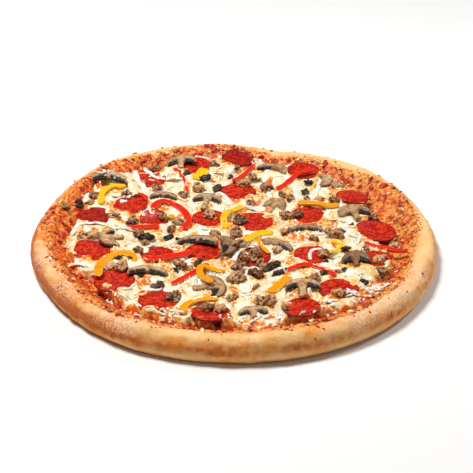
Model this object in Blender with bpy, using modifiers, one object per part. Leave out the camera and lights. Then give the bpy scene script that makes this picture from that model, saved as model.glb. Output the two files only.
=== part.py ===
"""A fourteen inch supreme pizza, baked and uncut, resting on its flat base.

The crust is a turned blank whose rim is then pulled out of round, as hand-stretched dough is. The
sauce and the cheese are sheets laid on it, with uneven edges. Each slice of pepperoni, each slice of
mushroom and each strip of pepper is a solid of its own, laid on what is already there. Small bits,
such as sausage crumbs and onion, are baked into whatever lies under them.

Lengths in the tables are millimetres, and everything built is in metres. +Y is the back of the pizza.
"""

import math
import random

import bmesh
import bpy
from mathutils import Matrix, Vector, noise
from mathutils.bvhtree import BVHTree

MM = 0.001
GAP = 0.4 * MM
SEED = 14

# Crust, before the rim is pulled out of round
CRUST_RADIUS = 178 * MM
RIM_HEIGHT = 21 * MM
RIDGE_INSET = 12 * MM
FLOOR = 8.5 * MM
WELL_RADIUS = 142 * MM
BASE_INSET = 7 * MM
BULGE = 8 * MM
CRUST_SECTORS = 72
LUMP = 0.5 * MM
LUMP_LENGTH = 22 * MM

# One value for every 15 degrees round the pizza, anticlockwise from +X
RADIUS_PULL = (0, -1, 0, 1, -1, -3, 0, 2, 3, 4, 2, -1, 0, -1, -3, -2, 0, 0, 0, 1, 2, 2, 1, 0)
HEIGHT_PULL = (0, -1, 0, 0, -1, -3, 0, 2, 2, 3, 1, 0, 0, 0, 0, 0, 0, 0, 0, 1, 1, 0, 0, 0)
SAUCE_EDGE = (161, 166, 167, 160, 160, 156, 165, 166, 164, 168, 167, 165,
              166, 161, 160, 164, 163, 158, 160, 163, 165, 164, 163, 158)
CHEESE_EDGE = (120, 126, 127, 138, 142, 143, 148, 147, 145, 155, 153, 142,
               146, 147, 142, 142, 149, 148, 151, 148, 147, 149, 149, 139)

# Baked bubbles on the rim: x, y, width and height
BUBBLES = ((-157, 14, 14, 2.0), (-96, 136, 16, 1.5), (62, 148, 26, 1.4), (158, 52, 20, 1.2),
           (-146, -84, 24, 1.0), (40, -166, 34, 1.2), (126, -112, 28, 1.2), (-70, -152, 22, 1.2))

SAUCE_THICKNESS = 1.3 * MM
CHEESE_THICKNESS = 2.6 * MM
CHEESE_SECTORS = 48
CHEESE_MELT = 0.7 * MM
MELT_LENGTH = 24 * MM

# Pepperoni slices: x, y and radius
PEPPERONI = ((4, 136, 16), (-36, 125, 15), (66, 114, 16), (4, 75, 17), (-94, 47, 16),
             (-125, 25, 16), (-22, 23, 16), (18, 18, 17), (66, 28, 16), (109, 59, 15),
             (125, 0, 18), (-121, -32, 16), (-66, -40, 15), (-26, -36, 16), (-98, -85, 17),
             (-60, -113, 17), (-18, -135, 16), (67, -39, 16), (120, -47, 14), (85, -96, 16.5),
             (54, -128, 15))
SUNK_PEPPERONI = ((-80, 106, 15), (-72, 25, 13), (17, -38, 15))
PEPPERONI_THICKNESS = 1.8 * MM
PEPPERONI_SECTORS = 16

# Mushroom slices: x and y of the gills' middle, cap width, cap depth, stem length, and the bearing
# in degrees that the cap's crown points to
MUSHROOMS = ((-51, 125, 29, 14, 12, 92), (-117, 84, 34, 14, 0, 95), (36, 114, 34, 12, 0, 60),
             (-25, 52, 28, 14, 17, 80), (-65, 59, 27, 11, 0, 90), (36, 45, 22, 17, 12, 70),
             (81, 93, 24, 13, 0, 0), (109, 25, 31, 16, 10, 100), (64, 1, 31, 9, 0, 92),
             (-103, -15, 28, 15, 8, 195), (-32, -25, 36, 15, 0, 82), (-11, -34, 30, 14, 0, 5),
             (35, -27, 34, 12, 0, 62), (103, -55, 25, 16, 8, 90), (-71, -78, 34, 14, 0, 94),
             (-20, -91, 36, 14, 14, 12), (56, -98, 30, 14, 18, 90), (16, -132, 25, 10, 6, 95))
MUSHROOM_THICKNESS = 3.6 * MM
MOST_MUSHROOM_SLOPE = 0.3

# Strips: their points, then their width
RED_PEPPERS = (
    (((-73, 37), (-70, 47), (-63, 51), (-52, 43), (-45, 33), (-41, 19), (-43, 1)), 7),
    (((20, 127), (10, 107), (-1, 89)), 4),
    (((76, 109), (60, 101), (40, 77)), 5),
    (((-95, 3), (-85, 3), (-66, 7)), 7),
    (((-76, -52), (-60, -51), (-34, -41)), 7),
    (((-21, -57), (-36, -73), (-51, -90)), 5),
    (((45, -69), (55, -60), (65, -60), (77, -69), (85, -76)), 5),
    (((113, -21), (132, -31), (148, -43)), 4.5),
)
YELLOW_PEPPERS = (
    (((-37, 95), (-31, 105), (-27, 113)), 11),
    (((-101, 78), (-113, 79), (-122, 66), (-121, 46)), 6.5),
    (((8, 43), (-5, 29), (-9, 17), (-7, 3)), 6),
    (((59, 51), (71, 44), (85, 41), (96, 43)), 7.5),
    (((35, -3), (22, -5), (8, -21)), 7.5),
    (((84, -18), (92, -23), (91, -33), (82, -42)), 4.5),
    (((-111, -84), (-112, -65), (-109, -50), (-99, -40), (-89, -40), (-82, -51)), 8),
    (((-7, -69), (-25, -66), (-28, -74), (-26, -81), (-17, -92)), 5.5),
    (((46, -78), (38, -91), (29, -103)), 8),
    (((-41, -136), (-39, -125), (-32, -119), (-20, -118), (-12, -119)), 6),
)
PEPPER_THICKNESS = 3.4 * MM
PEPPER_SIDES = 6
STRIP_STEP = 7 * MM
ONIONS = (
    (((-37, 151), (-36, 141), (-24, 143), (-12, 150)), 3),
    (((-87, 126), (-71, 109), (-52, 102), (-40, 105)), 6),
    (((-96, 119), (-89, 102), (-80, 78)), 8),
    (((-23, 106), (-20, 114), (-10, 114)), 3),
    (((-30, 77), (-16, 74), (-7, 61), (-3, 50)), 4),
    (((11, 41), (20, 45), (29, 42)), 9),
    (((57, 86), (60, 68), (74, 69), (82, 92)), 4),
    (((96, 101), (104, 104)), 6),
    (((72, -2), (82, 0), (92, 11)), 4),
    (((95, 12), (100, -2), (107, -15)), 4),
    (((-143, -1), (-138, 8), (-128, 11), (-110, 10), (-100, 5), (-89, -2)), 4),
    (((-140, -51), (-123, -57)), 5),
    (((22, -29), (15, -26), (8, -33), (2, -44), (1, -51)), 4),
    (((79, -29), (70, -30), (65, -38), (65, -49)), 3),
    (((8, -80), (11, -96)), 9),
    (((-75, -94), (-67, -95), (-58, -94)), 8),
    (((-80, -14), (-73, -27), (-66, -10)), 3),
    (((-137, 58), (-135, 72)), 6),
    (((-113, 66), (-103, 68)), 6),
    (((-6, -74), (-3, -86)), 3),
)
ONION_THICKNESS = 2.2 * MM
ONION_SIDES = 4
THIN_PEPPERS = (
    (((-58, 114), (-50, 105), (-43, 80)), 2.5),
    (((-90, 65), (-84, 61), (-79, 53)), 4),
    (((23, -12), (22, -22), (30, -36)), 4),
    (((-60, 26), (-53, 27)), 6),
)

# Sausage crumbs and mushroom scraps: x, y and width
CRUMBS = (
    (-77, 127, 12), (-73, 85, 12), (-20, 125, 10), (3, 119, 9), (18, 103, 13), (-32, 83, 13),
    (-47, 69, 11), (10, 86, 12), (30, 84, 14), (97, 85, 12), (105, 79, 11), (67, 56, 9),
    (79, 59, 9), (92, 50, 12), (47, 24, 14), (58, 26, 11), (16, 51, 9), (126, 36, 10),
    (134, 18, 9), (-22, 27, 12), (5, 18, 12), (-48, 15, 12), (-64, 24, 10), (-108, 24, 10),
    (-91, 21, 12), (-90, 11, 12), (-98, 64, 11), (-130, 62, 11), (-132, 52, 10), (-153, 38, 10),
    (-56, 4, 9), (-17, -4, 12), (0, -5, 13), (47, 2, 10), (87, -3, 15), (70, -12, 9),
    (-131, -9, 13), (-122, -10, 12), (-84, -6, 11), (-76, -21, 9), (-81, -35, 9), (-102, -64, 12),
    (-93, -68, 12), (-61, -91, 11), (-46, -58, 10), (-37, -62, 9), (3, -31, 13), (8, -45, 11),
    (18, -40, 15), (24, -52, 11), (4, -59, 13), (18, -66, 13), (-2, -75, 12), (6, -73, 11),
    (18, -88, 9), (37, -30, 10), (77, -43, 12), (67, -80, 10), (87, -67, 9), (112, -29, 9),
    (123, -52, 12), (124, -68, 12), (137, -15, 12), (84, -109, 15), (-22, -129, 12),
    (-10, -132, 13), (41, -130, 9), (20, -111, 11), (29, -111, 11), (-47, -108, 13),
    (-1, -103, 10), (45, 70, 9), (52, 66, 9), (-142, 52, 12), (-16, 79, 13), (-45, 109, 10),
    (71, 93, 11), (66, 79, 11), (34, -54, 13), (37, -71, 12), (-56, -8, 11), (97, -30, 10),
    (107, -86, 10), (-3, 103, 9), (-27, 97, 12), (89, 112, 9), (-78, -9, 15), (-31, -56, 8),
)
CRUMB_RAGGED = (0.8, 1.12)
CRUMB_SQUASH = 0.72
SINK = 2.2 * MM
BITE = 0.9 * MM
MOST_NUDGE = 7

COLOURS = {
    "crust": ((0.80, 0.47, 0.20), 0.70),
    "sauce": ((0.55, 0.06, 0.015), 0.35),
    "cheese": ((0.90, 0.76, 0.48), 0.40),
    "pepperoni": ((0.52, 0.02, 0.01), 0.35),
    "mushroom": ((0.42, 0.28, 0.17), 0.50),
    "red_pepper": ((0.75, 0.02, 0.005), 0.25),
    "yellow_pepper": ((0.90, 0.42, 0.01), 0.25),
}


def clear_scene():
    """Remove whatever the scene holds."""
    for obj in list(bpy.data.objects):
        bpy.data.objects.remove(obj, do_unlink=True)


def material(kind):
    """The plain material of one kind of food."""
    found = bpy.data.materials.get(kind)
    if found is None:
        colour, roughness = COLOURS[kind]
        found = bpy.data.materials.new(kind)
        found.use_nodes = True
        shader = found.node_tree.nodes["Principled BSDF"]
        shader.inputs["Base Color"].default_value = (*colour, 1)
        shader.inputs["Roughness"].default_value = roughness
        shader.inputs["Metallic"].default_value = 0
    return found


def collection(name):
    """A collection of this name, made in the scene when it is first asked for."""
    found = bpy.data.collections.get(name)
    if found is None:
        found = bpy.data.collections.new(name)
        bpy.context.scene.collection.children.link(found)
    return found


def linked(name, data, into="Supreme pizza"):
    """A new object holding this data, in the named collection."""
    obj = bpy.data.objects.new(name, data)
    collection(into).objects.link(obj)
    return obj


def settled(obj):
    """The same object with its modifiers or curve made a plain, welded mesh facing out."""
    name, home = obj.name, obj.users_collection[0].name
    bpy.context.view_layer.update()
    graph = bpy.context.evaluated_depsgraph_get()
    mesh = bpy.data.meshes.new_from_object(obj.evaluated_get(graph))
    mesh.transform(obj.matrix_world)
    bpy.data.objects.remove(obj, do_unlink=True)
    shape = bmesh.new()
    shape.from_mesh(mesh)
    bmesh.ops.remove_doubles(shape, verts=shape.verts, dist=0.01 * MM)
    bmesh.ops.dissolve_degenerate(shape, edges=shape.edges, dist=0.005 * MM)
    bmesh.ops.recalc_face_normals(shape, faces=shape.faces)
    shape.to_mesh(mesh)
    shape.free()
    return linked(name, mesh, home)


def around(values, bearing):
    """A smooth value at a bearing, from values at equal steps round the pizza from +X."""
    place = bearing / math.tau * len(values)
    first = math.floor(place)
    part = place - first
    a, b, c, d = (values[(first + step) % len(values)] for step in (-1, 0, 1, 2))
    bend = 2 * a - 5 * b + 4 * c - d + part * (3 * (b - c) + d - a)
    return b + 0.5 * part * (c - a + part * bend)


def eased(share):
    """0 to 1 with a level start and end."""
    share = min(max(share, 0), 1)
    return share * share * (3 - 2 * share)


def crust_profile():
    """Half of the crust's section as (radius, height), from the floor's middle over the rim to the base's."""
    ridge = CRUST_RADIUS - RIDGE_INSET
    rise = RIM_HEIGHT - FLOOR
    slope = [(WELL_RADIUS + share * (ridge - WELL_RADIUS), FLOOR + rise * eased(share ** 0.9))
             for share in (0, 0.35, 0.68, 1)]
    drop = RIM_HEIGHT - BULGE
    outer = [(ridge + RIDGE_INSET * math.sin(turn), BULGE + drop * math.cos(turn))
             for turn in map(math.radians, (28, 52, 72, 90))]
    under = [(CRUST_RADIUS - 1.5 * MM, 3 * MM), (CRUST_RADIUS - BASE_INSET, 0)]
    return [(0, FLOOR), *slope, *outer, *under, (0, 0)]


def pulled(radius, height, bearing):
    """Where hand stretching takes a point of the turned blank, before it is centred."""
    share = eased((radius - WELL_RADIUS) / (CRUST_RADIUS - RIDGE_INSET - WELL_RADIUS))
    radius += share * around(RADIUS_PULL, bearing) * MM
    x, y = radius * math.cos(bearing), radius * math.sin(bearing)
    lift = around(HEIGHT_PULL, bearing) * MM + LUMP * noise.noise(Vector((x, y, 0)) / LUMP_LENGTH)
    for centre_x, centre_y, width, bump in BUBBLES:
        away = math.hypot(x - centre_x * MM, y - centre_y * MM) / (0.5 * width * MM)
        lift += bump * MM * math.exp(-away * away)
    return Vector((x, y, height + lift * share * height / RIM_HEIGHT))


def outline_middle():
    """Middle of the pulled rim's extents, which is brought to the origin."""
    ring = [pulled(CRUST_RADIUS, BULGE, math.tau * step / CRUST_SECTORS) for step in range(CRUST_SECTORS)]
    return Vector([(min(point[axis] for point in ring) + max(point[axis] for point in ring)) / 2
                   for axis in (0, 1)] + [0])


def turned(name, profile, sectors):
    """A shape turned round Z from a profile of (radius, height), which runs down its outer side."""
    mesh = bpy.data.meshes.new(name)
    mesh.from_pydata([(r, 0, z) for r, z in profile], [(i, i + 1) for i in range(len(profile) - 1)], [])
    obj = linked(name, mesh)
    screw = obj.modifiers.new("Turn", "SCREW")
    screw.axis = "Z"
    screw.steps = screw.render_steps = sectors
    screw.use_merge_vertices = True
    screw.merge_threshold = 0.01 * MM
    return settled(obj)


def thickened(obj, thickness):
    """Give an open sheet its thickness, upwards from where it lies, and make it a plain mesh."""
    if sum(face.normal.z for face in obj.data.polygons) < 0:
        obj.data.flip_normals()
    solidify = obj.modifiers.new("Thickness", "SOLIDIFY")
    solidify.thickness = thickness
    solidify.offset = 1
    return settled(obj)


def tree_of(mesh, drop=0.0):
    """A search tree of a mesh, lowered by drop."""
    points = [vertex.co - Vector((0, 0, drop)) for vertex in mesh.vertices]
    return BVHTree.FromPolygons(points, [tuple(face.vertices) for face in mesh.polygons])


class Pile:
    """What is laid down so far, by name."""

    def __init__(self):
        self.trees = {}

    def add(self, obj):
        self.trees[obj.name] = tree_of(obj.data)

    def top(self, x, y):
        """Height of the highest thing at a place, and its name."""
        best = (-1.0, None)
        for name, tree in self.trees.items():
            hit = tree.ray_cast(Vector((x, y, 1)), Vector((0, 0, -1)))[0]
            if hit is not None and hit.z > best[0]:
                best = (hit.z, name)
        return best

    def reach(self, x, y, spread):
        """The highest of what lies within spread of a place."""
        turns = [math.tau * step / 6 for step in range(6)]
        places = [(x, y)] + [(x + spread * math.cos(a), y + spread * math.sin(a)) for a in turns]
        return max(self.top(*place)[0] for place in places)

    def touches(self, obj, besides=None):
        """Names of the things that an object meets where it is or a gap lower."""
        found = []
        for drop in (0.0, 0.75 * GAP):
            tree = tree_of(obj.data, drop)
            found += [name for name, other in self.trees.items() if name != besides and tree.overlap(other)]
        return found

    def lay(self, obj):
        """Raise an object until it is clear of everything, then add it."""
        while self.touches(obj):
            obj.data.transform(Matrix.Translation((0, 0, 0.3 * MM)))
        self.add(obj)


def as_bit(obj):
    """Move an object among the bits that are baked into others."""
    collection("Supreme pizza").objects.unlink(obj)
    collection("Bits").objects.link(obj)


def finish(obj, kind):
    """Colour an object and shade it smooth."""
    obj.data.materials.clear()
    obj.data.materials.append(material(kind))
    obj.data.shade_smooth()
    obj.data.set_sharp_from_angle(angle=math.radians(40))


def crust(pile):
    """The dough, from a turned blank."""
    obj = turned("crust", crust_profile(), CRUST_SECTORS)
    middle = outline_middle()
    for vertex in obj.data.vertices:
        x, y, z = vertex.co
        vertex.co = pulled(math.hypot(x, y), z, math.atan2(y, x)) - middle
    finish(obj, "crust")
    pile.add(obj)


def sheet(name, rings, sectors, edge):
    """An open round sheet with its edge's radius from a table, and its rings as shares of the edge."""
    obj = turned(name, [(ring, 0) for ring in rings], sectors)
    for vertex in obj.data.vertices:
        bearing = math.atan2(vertex.co.y, vertex.co.x)
        radius = math.hypot(vertex.co.x, vertex.co.y)
        vertex.co = Vector((math.cos(bearing), math.sin(bearing), 0)) * radius * around(edge, bearing) * MM
    return obj


def sauce(pile):
    """The sauce, a skin on the dough from the middle up to the rim."""
    slope = [point[0] / (SAUCE_EDGE[0] * MM) for point in crust_profile()[1:4]]
    obj = sheet("sauce", [0, slope[0], 0.94, 1], CRUST_SECTORS, SAUCE_EDGE)
    for vertex in obj.data.vertices:
        vertex.co.z = pile.reach(vertex.co.x, vertex.co.y, 1 * MM) + GAP
    obj = thickened(obj, SAUCE_THICKNESS)
    finish(obj, "sauce")
    pile.lay(obj)


def sunk_slices(pile):
    """Pepperoni almost buried in the cheese, baked into it."""
    discs = []
    for number, (x, y, radius) in enumerate(SUNK_PEPPERONI, 1):
        rings = [(0, 0), (radius / 2 * MM, 0), (radius * MM, 0)]
        disc = turned(f"sunk_{number:02d}", rings, PEPPERONI_SECTORS)
        for vertex in disc.data.vertices:
            vertex.co += Vector((x, y, 0)) * MM
            vertex.co.z = pile.reach(vertex.co.x, vertex.co.y, 1 * MM) - 1.5 * BITE
        disc = thickened(disc, 2.5 * BITE)
        as_bit(disc)
        discs.append(disc)
    fused({"cheese": discs})
    pile.add(bpy.data.objects["cheese"])


def cheese(pile):
    """The melted cheese, with an uneven edge and low mounds."""
    obj = sheet("cheese", [0, 0.3, 0.58, 0.82, 0.94, 1], CHEESE_SECTORS, CHEESE_EDGE)
    for vertex in obj.data.vertices:
        x, y = vertex.co.x, vertex.co.y
        mound = CHEESE_MELT * (1 + noise.noise(Vector((x, y, 0)) / MELT_LENGTH))
        vertex.co.z = pile.reach(x, y, 2 * MM) + GAP + mound
    obj = thickened(obj, CHEESE_THICKNESS)
    finish(obj, "cheese")
    pile.lay(obj)
    sunk_slices(pile)


def pepperoni_disc(name, x, y, radius, pile):
    """A slice of pepperoni that has softened over whatever is under it."""
    disc = turned(name, [(0, 0), (radius * MM, 0)], PEPPERONI_SECTORS)
    for vertex in disc.data.vertices:
        vertex.co += Vector((x, y, 0)) * MM
        vertex.co.z = pile.reach(vertex.co.x, vertex.co.y, 2 * MM) + GAP
    return thickened(disc, PEPPERONI_THICKNESS)


def pepperoni(pile):
    """Every slice of pepperoni that is a piece of its own."""
    for number, (x, y, radius) in enumerate(PEPPERONI, 1):
        obj = pepperoni_disc(f"pepperoni_{number:02d}", x, y, radius, pile)
        finish(obj, "pepperoni")
        pile.lay(obj)


def mushroom_outline(width, depth, stem):
    """A slice's outline with the crown towards +Y and the middle of its gills at the origin."""
    half = width / 2
    crown = [(half * math.cos(turn), depth * math.sin(turn) ** 0.8)
             for turn in (math.pi * step / 10 for step in range(11))]
    curl = [(-0.86 * half, -0.16 * depth), (-0.5 * half, 0.02 * depth)]
    foot = [(-0.2 * half, 0.1 * depth)]
    if stem:
        foot += [(-0.17 * half, -0.6 * stem), (-0.24 * half, -stem)]
    left = curl + foot
    return crown + left + [(-x, y) for x, y in reversed(left)]


def rested(obj, pile):
    """Lay a rigid flat piece on the plane that best fits what is under it."""
    points = [vertex.co for vertex in obj.data.vertices]
    middle = sum(points, Vector()) / len(points)
    heights = [pile.reach(point.x, point.y, 1.5 * MM) for point in points]
    mean = sum(heights) / len(heights)
    slopes = []
    for axis in (0, 1):
        spread = sum((point[axis] - middle[axis]) ** 2 for point in points)
        lean = sum((point[axis] - middle[axis]) * (height - mean) for point, height in zip(points, heights))
        slopes.append(max(min(lean / spread, MOST_MUSHROOM_SLOPE), -MOST_MUSHROOM_SLOPE))
    planes = [slopes[0] * (point.x - middle.x) + slopes[1] * (point.y - middle.y) for point in points]
    base = max(height - plane for height, plane in zip(heights, planes)) - 0.6 * MM
    for vertex, plane in zip(obj.data.vertices, planes):
        vertex.co.z += base + plane


def mushrooms(pile):
    """Every slice of mushroom, cut from its outline and laid flat."""
    for number, (x, y, width, depth, stem, bearing) in enumerate(MUSHROOMS, 1):
        name = f"mushroom_{number:02d}"
        curve = bpy.data.curves.new(name, "CURVE")
        curve.dimensions = "2D"
        curve.fill_mode = "BOTH"
        curve.extrude = MUSHROOM_THICKNESS / 2
        spline = curve.splines.new("POLY")
        outline = mushroom_outline(width, depth, stem)
        spline.points.add(len(outline) - 1)
        for point, place in zip(spline.points, outline):
            point.co = (place[0] * MM, place[1] * MM, 0, 1)
        spline.use_cyclic_u = True
        obj = linked(name, curve)
        obj.rotation_euler.z = math.radians(bearing - 90)
        obj.location = Vector((x, y, 0)) * MM + Vector((0, 0, MUSHROOM_THICKNESS / 2))
        obj = settled(obj)
        rested(obj, pile)
        finish(obj, "mushroom")
        pile.lay(obj)


def smooth_path(points):
    """Places about a step apart on a smooth curve through the points, in metres."""
    ends = [2 * Vector(points[0]) - Vector(points[1]), 2 * Vector(points[-1]) - Vector(points[-2])]
    row = [ends[0], *map(Vector, points), ends[1]]
    path = []
    for a, b, c, d in zip(row, row[1:], row[2:], row[3:]):
        count = max(round((c - b).length * MM / STRIP_STEP), 1)
        for step in range(count):
            t = step / count
            bend = 2 * a - 5 * b + 4 * c - d + t * (3 * (b - c) + d - a)
            path.append((b + 0.5 * t * (c - a + t * bend)) * MM)
    return path + [row[-2] * MM]


def oval(sides, width, thickness):
    """A closed oval curve that a strip is swept with."""
    curve = bpy.data.curves.new("section", "CURVE")
    spline = curve.splines.new("POLY")
    spline.points.add(sides - 1)
    for index, point in enumerate(spline.points):
        turn = math.tau * (index + 0.5) / sides
        point.co = (width / 2 * math.cos(turn), thickness / 2 * math.sin(turn), 0, 1)
    spline.use_cyclic_u = True
    return linked("section", curve, "Guides")


def swept(name, path, heights, section):
    """A strip along a path, its middle at the given heights and its ends drawn in."""
    curve = bpy.data.curves.new(name, "CURVE")
    curve.dimensions = "3D"
    curve.twist_mode = "Z_UP"
    curve.bevel_mode = "OBJECT"
    curve.bevel_object = section
    curve.use_fill_caps = True
    spline = curve.splines.new("POLY")
    spline.points.add(len(path) - 1)
    for index, point in enumerate(spline.points):
        point.co = (*path[index], heights[index], 1)
        point.radius = 0.7 if index in (0, len(path) - 1) else 1
    obj = settled(linked(name, curve))
    bpy.data.objects.remove(section, do_unlink=True)
    return obj


def stiffened(heights, sag):
    """Heights raised so that the strip they belong to bends no more than sag at any place."""
    heights = list(heights)
    for _ in range(12):
        for i in range(1, len(heights) - 1):
            heights[i] = max(heights[i], (heights[i - 1] + heights[i + 1]) / 2 - sag)
    return heights


def peppers(pile, kind, strips):
    """Every strip of one colour of pepper, laid over what is there."""
    for number, (points, width) in enumerate(strips, 1):
        path = smooth_path(points)
        half = width / 2 * MM
        heights = [pile.reach(x, y, half) + GAP + PEPPER_THICKNESS / 2 for x, y in path]
        section = oval(PEPPER_SIDES, width * MM, PEPPER_THICKNESS)
        obj = swept(f"{kind}_{number:02d}", path, stiffened(heights, 0.5 * MM), section)
        finish(obj, kind)
        pile.lay(obj)


def pressed(obj, host):
    """Lower a bit into its host and flatten its underside just below the host's surface."""
    over = []
    for vertex in obj.data.vertices:
        hit = host.ray_cast(Vector((vertex.co.x, vertex.co.y, 1)), Vector((0, 0, -1)))[0]
        if hit is not None:
            over.append((vertex, hit.z))
    drop = min(vertex.co.z - surface for vertex, surface in over) + SINK
    obj.data.transform(Matrix.Translation((0, 0, -drop)))
    for vertex, surface in over:
        vertex.co.z = max(vertex.co.z, surface - BITE)


def crumb(name, width, draw):
    """A ragged lump of minced sausage, round the origin."""
    shape = bmesh.new()
    bmesh.ops.create_icosphere(shape, subdivisions=1, radius=width / 2 * MM)
    for vertex in shape.verts:
        vertex.co *= draw.uniform(*CRUMB_RAGGED)
        vertex.co.z *= CRUMB_SQUASH
    bmesh.ops.rotate(shape, verts=shape.verts, matrix=Matrix.Rotation(draw.uniform(0, math.tau), 3, "Z"))
    mesh = bpy.data.meshes.new(name)
    shape.to_mesh(mesh)
    shape.free()
    return linked(name, mesh, "Bits")


def crumbs(pile, bits):
    """Crumbs set into whatever is on top at their place, nudged clear of everything else or left out."""
    draw = random.Random(SEED)
    for number, (x, y, width) in enumerate(CRUMBS, 1):
        obj = crumb(f"crumb_{number:02d}", width, draw)
        height, host = pile.top(x * MM, y * MM)
        home = Vector((x * MM, y * MM, height))
        obj.data.transform(Matrix.Translation(home))
        pressed(obj, pile.trees[host])
        if set_clear(obj, host, home, pile):
            bits.setdefault(host, []).append(obj)
        else:
            bpy.data.objects.remove(obj, do_unlink=True)


def set_clear(obj, host, home, pile):
    """Nudge a bit away from what it meets. False when it can't be cleared."""
    for _ in range(MOST_NUDGE):
        met = pile.touches(obj, besides=host)
        if not met:
            return True
        low = min((pile.trees[name].find_nearest(home)[0] for name in met), key=lambda at: (at - home).length)
        away = home - low
        away.z = 0
        if away.length < 0.1 * MM:
            return False
        step = away.normalized() * MM
        obj.data.transform(Matrix.Translation(step))
        pressed(obj, pile.trees[host])
        home += step
    return not pile.touches(obj, besides=host)


def clear_run(path, width, pile):
    """The longest run of a path with one host alone on top within its width, and that host."""
    best, run, host = ([], None), [], None
    for x, y in path:
        turns = [math.tau * step / 6 for step in range(6)]
        spread = width / 2 * MM + 1 * MM
        places = [(x, y)] + [(x + spread * math.cos(a), y + spread * math.sin(a)) for a in turns]
        names = {pile.top(*place)[1] for place in places}
        if names != {host}:
            host = names.pop() if len(names) == 1 else None
            run = []
        if host:
            run.append(Vector((x, y)))
        if len(run) > len(best[0]):
            best = (list(run), host)
    return best


def baked_strips(pile, bits, kind, strips, sides, thickness):
    """Strips sunk into what they lie on, shortened to their longest clear run."""
    for number, (points, width) in enumerate(strips, 1):
        path, host = clear_run(smooth_path(points), width, pile)
        if len(path) < 2:
            continue
        heights = [pile.top(x, y)[0] for x, y in path]
        name = f"{kind}_{number:02d}"
        obj = swept(name, path, heights, oval(sides, width * MM, thickness))
        as_bit(obj)
        pressed(obj, pile.trees[host])
        if pile.touches(obj, besides=host):
            bpy.data.objects.remove(obj, do_unlink=True)
        else:
            bits.setdefault(host, []).append(obj)


def whole(obj):
    """Keep an object's largest shell alone, which fills sealed hollows and drops loose scraps."""
    shape = bmesh.new()
    shape.from_mesh(obj.data)
    left = set(shape.verts)
    shells = []
    while left:
        found, edge = set(), {left.pop()}
        while edge:
            found |= edge
            edge = {link.other_vert(vertex) for vertex in edge for link in vertex.link_edges} - found
        left -= found
        shells.append(found)
    largest = max(shells, key=len)
    bmesh.ops.delete(shape, geom=[vertex for vertex in shape.verts if vertex not in largest], context="VERTS")
    shape.to_mesh(obj.data)
    shape.free()


def fused(bits):
    """Join every host with the bits baked into it by one union, and drop the bits."""
    for host, joined in bits.items():
        for obj in joined:
            collection(f"Into {host}").objects.link(obj)
        obj = bpy.data.objects[host]
        union = obj.modifiers.new("Bake in", "BOOLEAN")
        union.operation = "UNION"
        union.solver = "MANIFOLD"
        union.operand_type = "COLLECTION"
        union.collection = collection(f"Into {host}")
        kind = obj.data.materials[0].name
        obj = settled(obj)
        whole(obj)
        finish(obj, kind)
        for bit in joined:
            bpy.data.objects.remove(bit, do_unlink=True)


def main():
    """Build the pizza from the base up."""
    clear_scene()
    pile = Pile()
    crust(pile)
    sauce(pile)
    cheese(pile)
    pepperoni(pile)
    mushrooms(pile)
    peppers(pile, "red_pepper", RED_PEPPERS)
    peppers(pile, "yellow_pepper", YELLOW_PEPPERS)
    bits = {}
    baked_strips(pile, bits, "onion", ONIONS, ONION_SIDES, ONION_THICKNESS)
    baked_strips(pile, bits, "thin_pepper", THIN_PEPPERS, ONION_SIDES, ONION_THICKNESS)
    crumbs(pile, bits)
    fused(bits)


main()
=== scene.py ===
"""The looks of a baked supreme pizza: dough, sauce, melted cheese and every topping on it.

Each sub-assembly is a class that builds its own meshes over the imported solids. A topping stays where
its solid lies, and the cheese is then shaped round the toppings. Lengths in the tables are
millimetres, and everything built is in metres. +Y is the back of the pizza.
"""

import logging
import math
import random
from collections.abc import Callable
from dataclasses import dataclass, field, replace
from enum import Enum
from functools import cache

import bmesh
import bpy
import numpy as np
from mathutils import Matrix, Vector, geometry, noise
from mathutils.bvhtree import BVHTree


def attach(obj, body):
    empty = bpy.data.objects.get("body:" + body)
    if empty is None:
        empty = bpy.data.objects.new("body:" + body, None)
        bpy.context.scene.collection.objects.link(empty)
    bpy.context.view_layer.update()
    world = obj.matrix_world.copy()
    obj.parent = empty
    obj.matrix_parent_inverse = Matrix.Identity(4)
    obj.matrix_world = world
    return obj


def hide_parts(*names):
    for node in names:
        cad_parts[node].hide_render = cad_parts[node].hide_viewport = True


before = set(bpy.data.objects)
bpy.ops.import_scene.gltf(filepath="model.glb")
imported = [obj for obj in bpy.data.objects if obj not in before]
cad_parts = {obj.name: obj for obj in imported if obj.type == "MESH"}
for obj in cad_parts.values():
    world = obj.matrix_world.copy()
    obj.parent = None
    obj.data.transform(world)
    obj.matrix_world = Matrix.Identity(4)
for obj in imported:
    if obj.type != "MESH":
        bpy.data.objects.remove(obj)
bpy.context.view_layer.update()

LOG = logging.getLogger("pizza")
MM = 0.001
SEED = 14
BODY = "root"
DOWN, UP = Vector((0, 0, -1)), Vector((0, 0, 1))

# One value for every 15 degrees round the pizza, anticlockwise from +X
RADIUS_PULL = (0, -1, 0, 1, -1, -3, 0, 2, 3, 4, 2, -1, 0, -1, -3, -2, 0, 0, 0, 1, 2, 2, 1, 0)
HEIGHT_PULL = (0, -1, 0, 0, -1, -3, 0, 2, 2, 3, 1, 0, 0, 0, 0, 0, 0, 0, 0, 1, 1, 0, 0, 0)
SAUCE_EDGE = (161, 166, 167, 160, 160, 156, 165, 166, 164, 168, 167, 165,
              166, 161, 160, 164, 163, 158, 160, 163, 165, 164, 163, 158)
CHEESE_EDGE = (120, 126, 127, 138, 142, 143, 148, 147, 145, 155, 153, 142,
               146, 147, 142, 142, 149, 148, 151, 149, 150, 153, 149, 139)
TOASTED_RIM = (0.15, 0.1, 0.1, 0.1, 0.05, 0.05, 0.05, 0.1, 0.2, 0.4, 0.8, 1.2,
               1.5, 1.5, 1.3, 1.1, 0.85, 0.6, 0.6, 0.6, 0.55, 0.55, 0.45, 0.3)
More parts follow.
